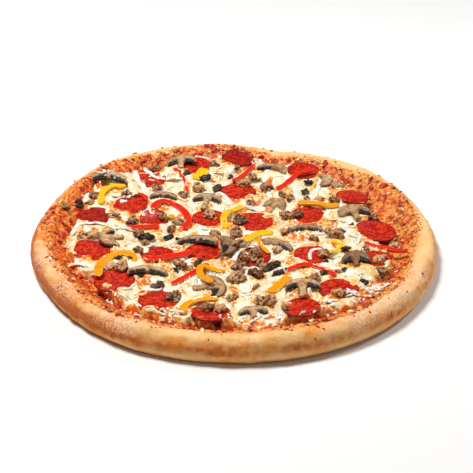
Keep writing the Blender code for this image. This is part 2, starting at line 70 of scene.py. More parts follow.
OILY_RIM = (0.3, 0.3, 0.1, 0.1, 0.1, 0.2, 0.3, 0.2, 0.3, 0.6, 0.9, 0.9,
            1.0, 0.9, 0.8, 0.7, 0.6, 0.5, 0.6, 0.6, 0.5, 0.5, 0.4, 0.3)

# Baked bubbles on the rim: x, y, width and height
BUBBLES = ((-157, 14, 14, 2.0), (-96, 136, 16, 1.5), (62, 148, 26, 1.4), (158, 52, 20, 1.2),
           (-146, -84, 24, 1.0), (40, -166, 34, 1.2), (126, -112, 28, 1.2), (-70, -152, 22, 1.2))
# The middle of the one that stays pale
PALE_BUBBLE = (-157, 18)
# Floury, pinkish stretches of the rim, partly painted highlights of a glossy sheen: x, y and reach
FLOUR_AND_HIGHLIGHT = ((100, -132, 24), (126, -106, 26), (150, -70, 16), (-156, -48, 20), (-88, -140, 22),
           (-134, -92, 18))

# Pepperoni slices: x, y and radius
PEPPERONI = ((4, 136, 16), (-36, 125, 15), (66, 114, 16), (4, 75, 17), (-94, 47, 16),
             (-125, 25, 16), (-22, 23, 16), (18, 18, 17), (66, 28, 16), (109, 59, 15),
             (125, 0, 18), (-121, -32, 16), (-66, -40, 15), (-26, -36, 16), (-98, -85, 17),
             (-60, -113, 17), (-18, -135, 16), (67, -39, 16), (120, -47, 14), (85, -96, 16.5),
             (54, -128, 15))
SUNK_PEPPERONI = ((-80, 106, 15), (-72, 25, 13), (17, -38, 15))
DARK_PEPPERONI = (1, 6)
CUPPED_PEPPERONI = {1: 2.0, 3: 1.2, 6: 1.0, 10: 0.9}
SQUARISH_PEPPERONI = (12, 16)
# Places where cheese has run over a topping: x, y and reach
LAPS = ((-106, -96, 8), (-90, -101, 6), (-66, -126, 6), (-50, -126, 5), (-125, -45, 5), (-111, -20, 5),
        (-10, 12, 5), (-97, 33, 5), (-112, 36, 5), (-78, -32, 5), (-13, -22, 5), (30, 29, 5), (53, 18, 5),
        (15, 64, 6), (98, 71, 4), (112, -13, 5), (58, -52, 5), (78, -110, 6), (99, -88, 4), (43, -122, 5),
        (64, -136, 4), (-26, -145, 5), (-8, -124, 4), (-49, 116, 5), (-6, 124, 5), (56, 103, 5),
        (130, -55, 4), (-33, -48, 4), (-60, -52, 4), (-133, 14, 4), (5, 5, 5))

# Strips: their points, then their width
RED_PEPPERS = (
    (((-73, 37), (-70, 47), (-63, 51), (-52, 43), (-45, 33), (-41, 19), (-43, 1)), 7),
    (((20, 127), (10, 107), (-1, 89)), 4), (((76, 109), (60, 101), (40, 77)), 5),
    (((-95, 3), (-85, 3), (-66, 7)), 7), (((-76, -52), (-60, -51), (-34, -41)), 7),
    (((-21, -57), (-36, -73), (-51, -90)), 5), (((45, -69), (55, -60), (65, -60), (77, -69), (85, -76)), 5),
    (((113, -21), (132, -31), (148, -43)), 4.5),
)
YELLOW_PEPPERS = (
    (((-37, 95), (-31, 105), (-27, 113)), 11), (((-101, 78), (-113, 79), (-122, 66), (-121, 46)), 6.5),
    (((8, 43), (-5, 29), (-9, 17), (-7, 3)), 6), (((59, 51), (71, 44), (85, 41), (96, 43)), 7.5),
    (((35, -3), (22, -5), (8, -21)), 7.5), (((84, -18), (92, -23), (91, -33), (82, -42)), 4.5),
    (((-111, -84), (-112, -65), (-109, -50), (-99, -40), (-89, -40), (-82, -51)), 8),
    (((-7, -69), (-25, -66), (-28, -74), (-26, -81), (-17, -92)), 5.5),
    (((46, -78), (38, -91), (29, -103)), 8),
    (((-41, -136), (-39, -125), (-32, -119), (-20, -118), (-12, -119)), 6),
)
ORANGE_STRIPS = (4, 7, 8, 9, 10)
THIN_RED_PEPPERS = (
    (((-58, 114), (-50, 105), (-43, 80)), 2.5), (((-90, 65), (-84, 61), (-79, 53)), 4),
)
THIN_YELLOW_PEPPERS = (
    (((23, -12), (22, -22), (30, -36)), 4), (((-60, 26), (-53, 27)), 6),
)
ONIONS = (
    (((-37, 151), (-36, 141), (-24, 143), (-12, 150)), 3),
    (((-87, 126), (-71, 109), (-52, 102), (-40, 105)), 4.5), (((-96, 119), (-91, 101), (-80, 78)), 5.5),
    (((-23, 106), (-20, 114), (-10, 114)), 3), (((-30, 77), (-16, 74), (-7, 61), (-3, 50)), 4),
    (((11, 41), (20, 45), (29, 42)), 9), (((57, 86), (60, 68), (74, 69), (82, 92)), 4),
    (((96, 101), (104, 104)), 6), (((72, -2), (82, 0), (92, 11)), 4),
    (((95, 12), (100, -2), (107, -15)), 4),
    (((-143, -1), (-138, 8), (-128, 11), (-110, 10), (-100, 5), (-89, -2)), 4),
    (((-140, -51), (-123, -57)), 5), (((22, -29), (15, -26), (8, -33), (2, -44), (1, -51)), 4),
    (((79, -29), (70, -30), (65, -38), (65, -49)), 3), (((8, -80), (11, -96)), 9),
    (((-75, -94), (-67, -95), (-58, -94)), 8), (((-80, -14), (-73, -27), (-66, -10)), 3),
    (((-137, 58), (-135, 72)), 6), (((-113, 66), (-103, 68)), 6), (((-6, -74), (-3, -86)), 3),
)

# Sausage crumbs: x, y and width
CRUMBS = (
    (-77, 127, 12), (-73, 85, 12), (-20, 125, 10), (3, 119, 9), (18, 103, 13), (-32, 83, 13), (-47, 69, 11),
    (10, 86, 12), (30, 84, 14), (97, 85, 12), (105, 79, 11), (67, 56, 9), (79, 59, 9), (92, 50, 12),
    (47, 24, 14), (58, 26, 11), (16, 51, 9), (126, 36, 10), (134, 18, 9), (-22, 27, 12), (5, 18, 12),
    (-48, 15, 12), (-64, 24, 10), (-108, 24, 10), (-91, 21, 12), (-90, 11, 12), (-98, 64, 11),
    (-130, 62, 11), (-132, 52, 10), (-153, 38, 10), (-56, 4, 9), (-17, -4, 12), (0, -5, 13), (47, 2, 10),
    (87, -3, 15), (70, -12, 9), (-131, -9, 13), (-122, -10, 12), (-84, -6, 11), (-76, -21, 9),
    (-81, -35, 9), (-102, -64, 12), (-93, -68, 12), (-61, -91, 11), (-46, -58, 10), (-37, -62, 9),
    (3, -31, 13), (8, -45, 11), (18, -40, 15), (24, -52, 11), (4, -59, 13), (18, -66, 13), (-2, -75, 12),
    (6, -73, 11), (18, -88, 9), (37, -30, 10), (77, -43, 12), (67, -80, 10), (87, -67, 9), (112, -29, 9),
    (123, -52, 12), (124, -68, 12), (137, -15, 12), (84, -109, 12), (-22, -129, 12), (-10, -132, 13),
    (41, -130, 9), (20, -111, 11), (29, -111, 11), (-47, -108, 13), (-1, -103, 10), (45, 70, 9),
    (52, 66, 9),
)
DARK_CRUMBS = ((5, 18), (-90, 11), (-47, -108), (18, -66), (58, 26), (-61, -91))
PALE_CRUMBS = ((-102, -64), (37, -30), (97, 85), (84, -109), (-131, -9))
# Dark scraps of mushroom and onion, partly dark pieces put in as painted shade between toppings: x, y and
# width
SCRAPS_AND_SHADE = (
    (-142, 52, 12), (-16, 79, 13), (-45, 109, 10), (71, 93, 11), (66, 79, 11), (34, -54, 13), (37, -71, 12),
    (-56, -8, 11), (97, -30, 10), (107, -86, 10), (-3, 103, 9), (-27, 97, 12), (89, 112, 9), (-78, -9, 15),
    (-31, -56, 8), (96, 0, 6), (78, -53, 6), (93, -63, 6), (-48, -64, 6), (-29, -52, 7), (-91, 62, 5),
    (76, -117, 5), (-98, -45, 7), (-25, -42, 5), (75, -71, 8), (44, -66, 6), (-88, -47, 6), (50, 60, 5),
    (104, 8, 6), (-50, -12, 6), (59, -84, 6), (30, -60, 8),
)
# Flecks of baked sauce on the dough: x, y and width
RIM_FLECKS = (
    (-95, 152, 9), (-97, 147, 7), (-80, 157, 4), (-71, 157, 3.5), (92, 147, 3.5), (109, 140, 4),
    (132, 122, 4), (138, 101, 4), (155, 71, 3), (156, -74, 3), (37, 160, 4), (29, 166, 3), (-58, 165, 3),
    (60, 160, 3.5), (74, 156, 3), (-128, 122, 4), (-150, 92, 3.5), (-164, 36, 5), (-168, 28, 4),
)
CHEESE_STRINGS = 420
# Places with loose white shreds of cheese: x, y, reach and how many
SHRED_PLACES = (
    (11, -140, 9, 12), (31, -138, 9, 12), (-4, -143, 7, 8), (78, -122, 8, 12), (102, -101, 10, 16),
    (115, -93, 8, 14), (122, -85, 8, 12), (-119, -66, 7, 8), (-50, -133, 9, 10), (95, -108, 7, 10),
    (108, -75, 6, 6), (-100, -104, 6, 6), (92, 98, 6, 6), (-118, 92, 9, 10), (-102, 56, 7, 8),
    (-128, 8, 7, 5), (132, -62, 6, 5), (-75, -130, 7, 6), (60, -140, 7, 6),
)


def curved(a: object, b: object, c: object, d: object, part: float) -> object:
    """The place this part of the way from b to c on a smooth curve through four numbers or points."""
    bend = 2 * a - 5 * b + 4 * c - d + part * (3 * (b - c) + d - a)
    return b + 0.5 * part * (c - a + part * bend)


def around(values: tuple[float, ...], bearing: float) -> float:
    """A smooth value at a bearing, from values at equal steps round a circle.

    Args:
        values: one value for each step, anticlockwise from +X.
        bearing: the direction, in radians anticlockwise from +X.

    Returns:
        The value there.
    """
    place = bearing / math.tau * len(values)
    first = math.floor(place)
    return curved(*(values[(first + step) % len(values)] for step in (-1, 0, 1, 2)), place - first)


def smooth_path(points: tuple[tuple[float, float], ...], step: float) -> list[Vector]:
    """Places in metres on a smooth curve.

    Args:
        points: what it passes through, in millimetres.
        step: about how far apart the places are, in metres.

    Returns:
        The places from the first point to the last.
    """
    row = [Vector(point) for point in points]
    row = [2 * row[0] - row[1], *row, 2 * row[-1] - row[-2]]
    path = []
    for a, b, c, d in zip(row, row[1:], row[2:], row[3:]):
        count = max(round((c - b).length * MM / step), 1)
        path += [curved(a, b, c, d, number / count) * MM for number in range(count)]
    return path + [row[-2] * MM]


def eased(share: float) -> float:
    """0 to 1 with a level start and end."""
    share = min(max(share, 0.0), 1.0)
    return share * share * (3 - 2 * share)


def grain(x: float, y: float, z: float, length: float, seed: float = 0.0) -> float:
    """Smooth noise from about -1 to 1, with features of this length. The seed moves the pattern."""
    return noise.noise(Vector((x / length + seed, y / length - seed, z / length + 0.5 * seed)))


def cells(x: float, y: float, z: float, length: float) -> float:
    """Distance to the nearest of scattered points, in cells of this length: 0 at one, 1 far off."""
    return noise.voronoi(Vector((x, y, z)) / length)[0][0]


def turns(count: int) -> list[float]:
    """Bearings at equal steps round a circle."""
    return [math.tau * step / count for step in range(count)]


def polar(radius: float, bearing: float, x: float = 0.0, y: float = 0.0) -> tuple[float, float]:
    """The place this far from (x, y) at a bearing."""
    return x + radius * math.cos(bearing), y + radius * math.sin(bearing)


def fading(away: float) -> float:
    """1 at no distance, and next to nothing past two."""
    return math.exp(-away * away)


def near(x: float, y: float, spot: tuple[float, float, float]) -> float:
    """How near a place is to a table's x, y and reach: 1 at the middle of it."""
    return fading(math.hypot(x - spot[0] * MM, y - spot[1] * MM) / (spot[2] * MM))


def srgb(*screen: int) -> tuple[float, float, float, float]:
    """A colour as Blender's sockets take it, from screen values of 0 to 255."""
    return (*((v / 255 / 12.92) if v <= 10 else ((v / 255 + 0.055) / 1.055) ** 2.4 for v in screen), 1.0)


def reckoned(operation: str, swapped: bool = False) -> Callable:
    """A sum for Value, as a math node: the operation, and whether the value comes second in it."""

    def added(first: "Value", second: object = 0.0) -> "Value":
        """Add the node."""
        pair = (second, first) if swapped else (first, second)
        return first.wiring.put("ShaderNodeMath", dict(enumerate(pair)), operation=operation)

    return added


@dataclass
class Value:
    """What a node puts out. Sums with it add nodes."""

    wiring: "Wiring"
    socket: bpy.types.NodeSocket

    __add__ = reckoned("ADD")
    __sub__ = reckoned("SUBTRACT")
    __rsub__ = reckoned("SUBTRACT", True)
    __mul__ = reckoned("MULTIPLY")
    __rtruediv__ = reckoned("DIVIDE", True)
    __pow__ = reckoned("POWER")
    __abs__ = reckoned("ABSOLUTE")
    sign = reckoned("SIGN")
    at_least = reckoned("MAXIMUM")

    def beside(self, output: int | str) -> "Value":
        """Another output of the same node."""
        return Value(self.wiring, self.socket.node.outputs[output])


class Socket(Enum):
    """Kinds of socket in a tree's interface."""

    GEOMETRY = "NodeSocketGeometry"
    MATERIAL = "NodeSocketMaterial"
    VECTOR = "NodeSocketVector"
    NUMBER = "NodeSocketFloat"
    COUNT = "NodeSocketInt"


class Wiring:
    """Adds nodes to one tree and joins them."""

    def __init__(self, tree: bpy.types.NodeTree) -> None:
        """Start on a tree."""
        self.tree = tree

    @classmethod
    def begun(cls, name: str, kind: str, result: Socket, inputs: dict) -> "Wiring":
        """Start a node group with named inputs and one output.

        Args:
            name: its name.
            kind: the tree's type name.
            result: the kind of its output.
            inputs: each input's default number, or its kind where it has none, by name.

        Returns:
            The group's wiring.
        """
        wiring = cls(bpy.data.node_groups.new(name, kind))
        for label, default in inputs.items():
            plain = Socket.COUNT if isinstance(default, int) else Socket.NUMBER
            socket_kind = default if isinstance(default, Socket) else plain
            socket = wiring.tree.interface.new_socket(label, in_out="INPUT", socket_type=socket_kind.value)
            if socket_kind is plain:
                socket.default_value = default
        wiring.tree.interface.new_socket("Result", in_out="OUTPUT", socket_type=result.value)
        wiring.start = wiring.tree.nodes.new("NodeGroupInput")
        return wiring

    def __getitem__(self, name: str) -> Value:
        """One of the tree's own inputs."""
        return Value(self, self.start.outputs[name])

    def ended(self, result: Value) -> bpy.types.NodeTree:
        """Let the tree put out this result."""
        self.fit(self.tree.nodes.new("NodeGroupOutput"), {0: result})
        return self.tree

    def fit(self, node: bpy.types.Node, inputs: dict) -> None:
        """Give a node's inputs their numbers, or join values to them, by name or index."""
        for key, value in inputs.items():
            if isinstance(value, Value):
                self.tree.links.new(value.socket, node.inputs[key])
            else:
                node.inputs[key].default_value = value

    def put(self, kind: str, inputs: dict | None = None, output: int | str = 0, **settings: object) -> Value:
        """Add a node.

        Args:
            kind: its type name.
            inputs: what goes into it, by name or index.
            output: which of its outputs to give.
            **settings: its own properties.

        Returns:
            The output.
        """
        made = self.tree.nodes.new(kind)
        for name, value in settings.items():
            setattr(made, name, value)
        self.fit(made, inputs or {})
        return Value(self, made.outputs[output])

    def ranged(self, value: Value, low: object, high: object, start: float = 0.0, end: float = 1.0) -> Value:
        """Turn low..high into start..end, eased and clamped."""
        inputs = dict(enumerate((value, low, high, start, end)))
        return self.put("ShaderNodeMapRange", inputs, interpolation_type="SMOOTHSTEP")


@cache
def patch_group() -> bpy.types.NodeTree:
    """Soft-edged blotches: a mask that is 1 inside them."""
    w = Wiring.begun("Patches", "ShaderNodeTree", Socket.NUMBER, {
        "Place": Socket.VECTOR, "Length": 0.01, "Low": 0.45, "High": 0.6, "Detail": 3.0})
    inputs = {"Vector": w["Place"], "Scale": 1.0 / w["Length"], "Detail": w["Detail"]}
    return w.ended(w.ranged(w.put("ShaderNodeTexNoise", inputs), w["Low"], w["High"]))


@cache
def speck_group() -> bpy.types.NodeTree:
    """Small scattered spots of uneven size: a mask that is 1 at the middle of each."""
    w = Wiring.begun("Specks", "ShaderNodeTree", Socket.NUMBER, {
        "Place": Socket.VECTOR, "Length": 0.003, "Size": 0.3, "Raggedness": 0.35})
    scale = 1.0 / w["Length"]
    spots = w.put("ShaderNodeTexVoronoi", {"Vector": w["Place"], "Scale": scale}, "Distance")
    rough = w.put("ShaderNodeTexNoise", {"Vector": w["Place"], "Scale": scale * 2.6})
    size = w["Size"] * w.put("ShaderNodeSeparateXYZ", {0: spots.beside("Color")})
    return w.ended(w.ranged(spots + (rough - 0.5) * w["Raggedness"], size, size * 0.6))


class Painter(Wiring):
    """The wiring of one material, on Object coordinates, with lengths in millimetres."""

    def __init__(self, tree: bpy.types.NodeTree) -> None:
        """Start on a material's tree."""
        super().__init__(tree)
        self.place = self.put("ShaderNodeTexCoord", output="Object")

    def mask(self, name: str) -> Value:
        """A mask that the piece's own mesh carries."""
        return self.put("ShaderNodeAttribute", None, "Fac", attribute_name=name)

    def noise(self, length: float, detail: float = 2.0) -> Value:
        """Smooth noise of 0 to 1 with features of this length."""
        inputs = {"Vector": self.place, "Scale": 1 / (length * MM), "Detail": detail}
        return self.put("ShaderNodeTexNoise", inputs)

    def patches(self, length: float, low: float, high: float, detail: float = 3.0,
                shift: tuple[float, float, float] | None = None) -> Value:
        """Soft-edged blotches of this length, moved along where there is a shift."""
        place = self.place
        if shift:
            place = self.put("ShaderNodeVectorMath", {0: place, 1: shift}, operation="ADD")
        inputs = {"Place": place, "Length": length * MM, "Low": low, "High": high, "Detail": detail}
        return self.put("ShaderNodeGroup", inputs, node_tree=patch_group())

    def specks(self, length: float, size: float) -> Value:
        """Scattered spots, this far apart."""
        inputs = {"Place": self.place, "Length": length * MM, "Size": size}
        return self.put("ShaderNodeGroup", inputs, node_tree=speck_group())


@dataclass(frozen=True)
class Finish:
    """One Principled shader: a base colour, colours laid over it where their masks are high, and grain."""

    name: str
    base: tuple
    layers: tuple[tuple[tuple, Callable[[Painter], Value]], ...]
    height: Callable[[Painter], Value]
    relief: float = 0.3 * MM
    roughness: float = 0.5
    coat: float = 0.0
    specular: float = 0.5
    subsurface: float = 0.0
    coat_roughness: float = 0.12
    glow_depth: float = 1.5 * MM
    glow_tint: tuple = (1.0, 0.6, 0.35)
    gloss: Callable[[Painter], Value] | None = None

    def material(self) -> bpy.types.Material:
        """The finish as a material, made when it is first asked for."""
        made = bpy.data.materials.get(self.name)
        if made:
            return made
        made = bpy.data.materials.new(self.name)
        made.use_nodes = True
        paint = Painter(made.node_tree)
        colour = self.base
        for over, mask in self.layers:
            inputs = {0: mask(paint), 6: colour, 7: over}
            colour = paint.put("ShaderNodeMix", inputs, 2, data_type="RGBA")
        bump = {"Height": self.height(paint), "Distance": self.relief, "Strength": 1.0}
        inputs = {"Base Color": colour, "Roughness": self.gloss(paint) if self.gloss else self.roughness,
                  "Specular IOR Level": self.specular, "Coat Weight": self.coat,
                  "Coat Roughness": self.coat_roughness, "Normal": paint.put("ShaderNodeBump", bump)}
        if self.subsurface:
            inputs.update({"Subsurface Weight": self.subsurface, "Subsurface Scale": self.glow_depth,
                           "Subsurface Radius": self.glow_tint})
        paint.fit(made.node_tree.nodes["Principled BSDF"], inputs)
        return made


def dough() -> Finish:
    """Golden baked dough with toasted smears, pale flour partly painted as the highlights of a glossy sheen,
    and oil by the sauce. The toasted band on the rim's side and the darker base are partly painted shade.
    """
    toasted, browned = srgb(216, 116, 36), srgb(156, 72, 22)
    return Finish("baked_dough", srgb(252, 212, 146), (
        (srgb(243, 176, 86), lambda p: p.patches(16, 0.38, 0.66) * p.ranged(p.mask("toast"), 0.0, 0.3, 0.2)),
        # Darker brown towards the base of the rim: partly the browner baked underside, partly painted shade
        # low on the side
        (srgb(202, 130, 56), lambda p: p.ranged(
            p.put("ShaderNodeSeparateXYZ", {0: p.place}, 2), 7 * MM, 3 * MM) * 0.7),
        (toasted, lambda p: p.mask("toast") * p.ranged(p.noise(6, 3.0), 0.35, 0.6, 0.55)),
        (browned, lambda p: p.ranged(p.mask("toast"), 0.9, 1.5) * 0.45),
        (browned, lambda p: p.mask("toast") * p.patches(6, 0.54, 0.74) * 0.6),
        (srgb(238, 118, 32), lambda p: p.mask("oil") * p.patches(4, 0.3, 0.6)),
        # Pale pinkish flour, partly a painted highlight of the rim's glossy sheen
        (srgb(252, 220, 194), lambda p: p.mask("flour_and_highlight") * p.patches(1.6, 0.46, 0.58) * 0.9),
        (toasted, lambda p: p.patches(1.1, 0.35, 0.7) * 0.22),
        (toasted, lambda p: p.specks(6, 0.3) * 0.35),
    ), lambda p: p.noise(2.5, 4.0) - p.specks(2.2, 0.4) * 0.5, 0.4 * MM, 0.66, specular=0.24, subsurface=0.08,
        gloss=lambda p: p.ranged(p.mask("oil").at_least(p.mask("flour_and_highlight")), 0.1, 0.9, 0.66, 0.4))


def sauce(name: str, red: tuple = srgb(244, 112, 32), oil: tuple = srgb(254, 186, 88)) -> Finish:
    """Baked tomato sauce: three depths of red in small grains, with more oil where it is thin."""
    return Finish(name, red, (
        (oil, lambda p: p.mask("thin").at_least(p.patches(5, 0.5, 0.66))),
        (srgb(180, 32, 8), lambda p: p.patches(3.2, 0.48, 0.6, 4.0) * 0.8),
        (srgb(108, 18, 10), lambda p: p.patches(5, 0.56, 0.64, 5.0, (0.3, 0.1, 0.2)) * 0.6),
        (oil, lambda p: p.specks(2.6, 0.34) * 0.7),
    ), lambda p: p.noise(1.1, 3.0), 0.9 * MM, 0.25, specular=0.4)


def cheese(name: str, cream: tuple = srgb(248, 240, 216), butter: tuple = srgb(243, 225, 172)) -> Finish:
    """Melted cheese: cream and butter tones, with whiter, golden and oily blotches."""
    golden = srgb(246, 188, 84)
    return Finish(name, cream, (
        (butter, lambda p: p.patches(9, 0.4, 0.64)),
        (srgb(251, 248, 236), lambda p: p.patches(3.5, 0.56, 0.68)),
        (golden, lambda p: p.mask("toast") * p.patches(3, 0.35, 0.6)),
        (golden, lambda p: p.ranged(p.mask("stain") * p.patches(3.2, 0.35, 0.6), 0.05, 0.35)),
        (srgb(238, 112, 16), lambda p: p.ranged(p.mask("stain") * p.patches(3.2, 0.35, 0.6), 0.3, 0.62)),
    ), lambda p: p.noise(2.2), 0.5 * MM, 0.3, coat=0.25, subsurface=0.22)


def pepperoni() -> Finish:
    """Cured sausage: marbled in two reds, with flecks of fat, oily, darker at its crisped rim."""
    dark = srgb(98, 8, 6)
    return Finish("cured_pepperoni", srgb(176, 20, 8), (
        (srgb(218, 56, 22), lambda p: p.patches(4, 0.42, 0.62)),
        (dark, lambda p: p.patches(2.2, 0.56, 0.66) * 0.6),
        (srgb(240, 140, 98), lambda p: p.patches(1.7, 0.62, 0.7, shift=(0.2, 0.4, 0.1)) * 0.6),
        (dark, lambda p: p.mask("crisp")),
    ), lambda p: p.noise(1.8, 3.0), 0.6 * MM, 0.27, specular=0.36)


def mushroom() -> Finish:
    """Baked mushroom: tan flesh, brown skin at the crown and black wet gills."""
    shaded = srgb(172, 122, 76)
    return Finish("baked_mushroom", srgb(224, 184, 138), (
        (shaded, lambda p: p.patches(3.5, 0.38, 0.66)),
        (srgb(108, 72, 46), lambda p: p.mask("tone")),
        (shaded, lambda p: p.patches(1.2, 0.5, 0.7) * 0.3),
        (srgb(106, 58, 26), lambda p: p.mask("skin")),
        (srgb(40, 23, 13), lambda p: p.mask("gills")),
    ), lambda p: p.noise(1.2, 3.0), roughness=0.38, coat=0.12, specular=0.36, subsurface=0.08)


def sausage() -> Finish:
    """Crumbled sausage: light on its nodules and dark between them, the dark a painted shade in the hollows,
    deeper by the crumb's tone.
    """
    return Finish("browned_sausage", srgb(228, 176, 118), (
        (srgb(190, 128, 76), lambda p: p.ranged(p.noise(1.6, 3.0) + p.mask("tone"), 0.35, 0.62)),
        # Painted shade in the hollows between nodules, deeper on darker crumbs
        (srgb(66, 33, 16), lambda p: p.ranged(p.mask("hollow") + p.mask("tone") * 0.6, 0.42, 0.78)),
    ), lambda p: p.noise(1.2, 4.0), 0.8 * MM, coat=0.1)


def pepper(name: str, skin: tuple, flesh: tuple, singed: tuple) -> Finish:
    """Roasted bell pepper: glossy skin, paler at the cut edges, blistered in places."""
    return Finish(name, skin, (
        (flesh, lambda p: p.ranged(p.mask("across"), 0.55, 0.95) * 0.8),
        (singed, lambda p: p.patches(5, 0.6, 0.72) * 0.6),
        (flesh, lambda p: p.patches(2.5, 0.55, 0.7) * 0.4),
    ), lambda p: p.noise(2), roughness=0.2, coat=0.8, specular=0.4)


def onion(name: str, roughness: float = 0.22, subsurface: float = 0.5) -> Finish:
    """Softened onion: white, wet and a little see-through, with creamy stretches."""
    return Finish(name, srgb(247, 243, 230), ((srgb(234, 222, 190), lambda p: p.patches(4, 0.5, 0.7)),),
                  lambda p: p.noise(1.5), 0.15 * MM, roughness, 0.4, subsurface=subsurface)


def flecks() -> Finish:
    """Small bits of tomato and herb in the sauce: some red, most burgundy."""
    return Finish("tomato_flecks", srgb(188, 32, 12),
                  ((srgb(126, 20, 12), lambda p: p.patches(4, 0.42, 0.55)),),
                  lambda p: p.noise(0.8), 0.2 * MM, 0.35, 0.1)


def scraps_and_shade() -> Finish:
    """Dark, wet scraps of mushroom gill and browned onion, partly dark pieces put in as painted shade between
    toppings: black to grey by tone, with plum blotches.
    """
    return Finish("wet_scraps_and_shade", srgb(36, 22, 14), (
        (srgb(112, 82, 60), lambda p: p.ranged(p.mask("tone") + p.noise(2.5), 0.5, 1.2)),
        (srgb(92, 46, 34), lambda p: p.patches(5, 0.55, 0.7) * 0.6),
    ), lambda p: p.noise(1.0, 3.0), roughness=0.4, specular=0.26)


def closed_shell(rings: np.ndarray, first: tuple, last: tuple) -> tuple[np.ndarray, list]:
    """Join rings of points into one closed skin.

    Args:
        rings: array of rings, points and coordinates. Each ring runs anticlockwise about the way it faces.
        first: the point that closes the skin before the first ring.
        last: the point that closes it after the last ring.

    Returns:
        The points and the faces, which face outwards.
    """
    count, size = rings.shape[:2]
    here = np.arange(size)
    after = (here + 1) % size
    faces = []
    for low in range(0, (count - 1) * size, size):
        high = low + size
        faces += np.column_stack([low + here, high + here, high + after, low + after]).tolist()
    start, base = count * size, (count - 1) * size
    faces += [(start, a, b) for a, b in zip(here.tolist(), after.tolist())]
    faces += [(start + 1, base + b, base + a) for a, b in zip(here.tolist(), after.tolist())]
    return np.vstack([rings.reshape(-1, 3), [first, last]]), faces


def masked(mesh: bpy.types.Mesh, masks: dict) -> None:
    """Let a mesh carry a number or a vector for each point, by name."""
    for label, values in masks.items():
        values = np.asarray(values, np.float32)
        kind, key = ("FLOAT", "value") if values.ndim == 1 else ("FLOAT_VECTOR", "vector")
        mesh.attributes.new(label, kind, "POINT").data.foreach_set(key, values.ravel())


def linked(name: str, data: bpy.types.ID) -> bpy.types.Object:
    """A new object in the scene, at the origin."""
    obj = bpy.data.objects.new(name, data)
    bpy.context.scene.collection.objects.link(obj)
    return obj


def new_object(name: str, points: object, faces: object, finish: Finish | None = None,
               masks: dict | None = None) -> bpy.types.Object:
    """Make one smooth-shaded piece.

    Args:
        name: its name.
        points: its points, in metres.
        faces: its faces as point numbers.
        finish: what it is dressed in.
        masks: the values that its mesh carries for the points, by name.

    Returns:
        The new object.
    """
    mesh = bpy.data.meshes.new(name)
    mesh.from_pydata(np.asarray(points).tolist(), [], faces)
    masked(mesh, masks or {})
    mesh.update()
    if finish:
        mesh.materials.append(finish.material())
    mesh.shade_smooth()
    return linked(name, mesh)


def points_of(mesh: bpy.types.Mesh) -> np.ndarray:
    """A mesh's points as an array."""
    flat = np.empty(len(mesh.vertices) * 3, np.float32)
    mesh.vertices.foreach_get("co", flat)
    return flat.reshape(-1, 3).astype(float)


def moved_out(mesh: bpy.types.Mesh, amounts: list[float]) -> None:
    """Move each point of a mesh along its normal by its amount in metres."""
    normals = np.empty(len(mesh.vertices) * 3, np.float32)
    mesh.vertex_normals.foreach_get("vector", normals)
    moved = points_of(mesh) + normals.reshape(-1, 3) * np.asarray(amounts)[:, None]
    mesh.vertices.foreach_set("co", moved.astype(np.float32).ravel())
    mesh.update()


def handed_over(obj: bpy.types.Object, slot: str, *nodes: str) -> bpy.types.Object:
    """Let a finished piece ride on the pizza's one body and stand for its solids.

    Args:
        obj: the piece.
        slot: the record's material slot.
        *nodes: the solids that it stands for.

    Returns:
        The piece.
    """
    if nodes:
        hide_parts(*nodes)
    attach(obj, BODY)
    LOG.info("%s: %d faces, slot %s, for %s", obj.name, len(obj.data.polygons), slot, nodes or "no solid")
    return obj


class Solid:
    """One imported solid, and where its faces lie."""

    def __init__(self, node: str) -> None:
        """Read a node's mesh."""
        self.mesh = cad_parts[node].data
        faces = [tuple(face.vertices) for face in self.mesh.polygons]
        self.tree = BVHTree.FromPolygons([vertex.co for vertex in self.mesh.vertices], faces)

    def underside(self, x: float, y: float) -> float | None:
        """Height of its lowest face at a place, or None beside it."""
        hit = self.tree.ray_cast(Vector((x, y, -1)), UP)[0]
        return None if hit is None else hit.z

    def plane(self) -> tuple[float, float, float]:
        """Height at the origin and slopes along X and Y of the plane through the middle of a flat solid."""
        points = points_of(self.mesh)
        rows = np.column_stack([np.ones(len(points)), points[:, 0], points[:, 1]])
        return tuple(np.linalg.lstsq(rows, points[:, 2], rcond=None)[0])


@dataclass
class Pile:
    """What is laid down so far, by kind of food."""

    parts: dict[str, tuple[list, list]] = field(default_factory=dict)
    trees: dict[tuple, BVHTree] = field(default_factory=dict)

    def lay(self, obj: bpy.types.Object, kind: str, slot: str, *nodes: str) -> bpy.types.Object:
        """Lay a piece of a kind of food, and hand it over with its slot and the solids it stands for."""
        points, faces = self.parts.setdefault(kind, ([], []))
        start = len(points)
        points += [vertex.co.copy() for vertex in obj.data.vertices]
        faces += [[start + index for index in face.vertices] for face in obj.data.polygons]
        self.trees.clear()
        return handed_over(obj, slot, *nodes)

    def tree(self, *kinds: str) -> BVHTree:
        """The search tree of these kinds together."""
        if kinds not in self.trees:
            points, faces = [], []
            for kind in kinds:
                faces += [[len(points) + index for index in face] for face in self.parts[kind][1]]
                points += self.parts[kind][0]
            self.trees[kinds] = BVHTree.FromPolygons(points, faces)
        return self.trees[kinds]

    def top(self, x: float, y: float, *kinds: str) -> tuple[float, str]:
        """Height and kind of what is on top at a place, of these kinds or of all."""
        best = (0.0, "")
        for kind in kinds or self.parts:
            hit = self.tree(kind).ray_cast(Vector((x, y, 1)), DOWN)[0]
            if hit is not None and hit.z > best[0]:
                best = (hit.z, kind)
        return best

    def reach(self, x: float, y: float, spread: float) -> float:
        """Height of the highest thing within spread of a place."""
        places = [(x, y)] + [polar(spread, turn, x, y) for turn in turns(6)]
        return max(self.top(*place)[0] for place in places)


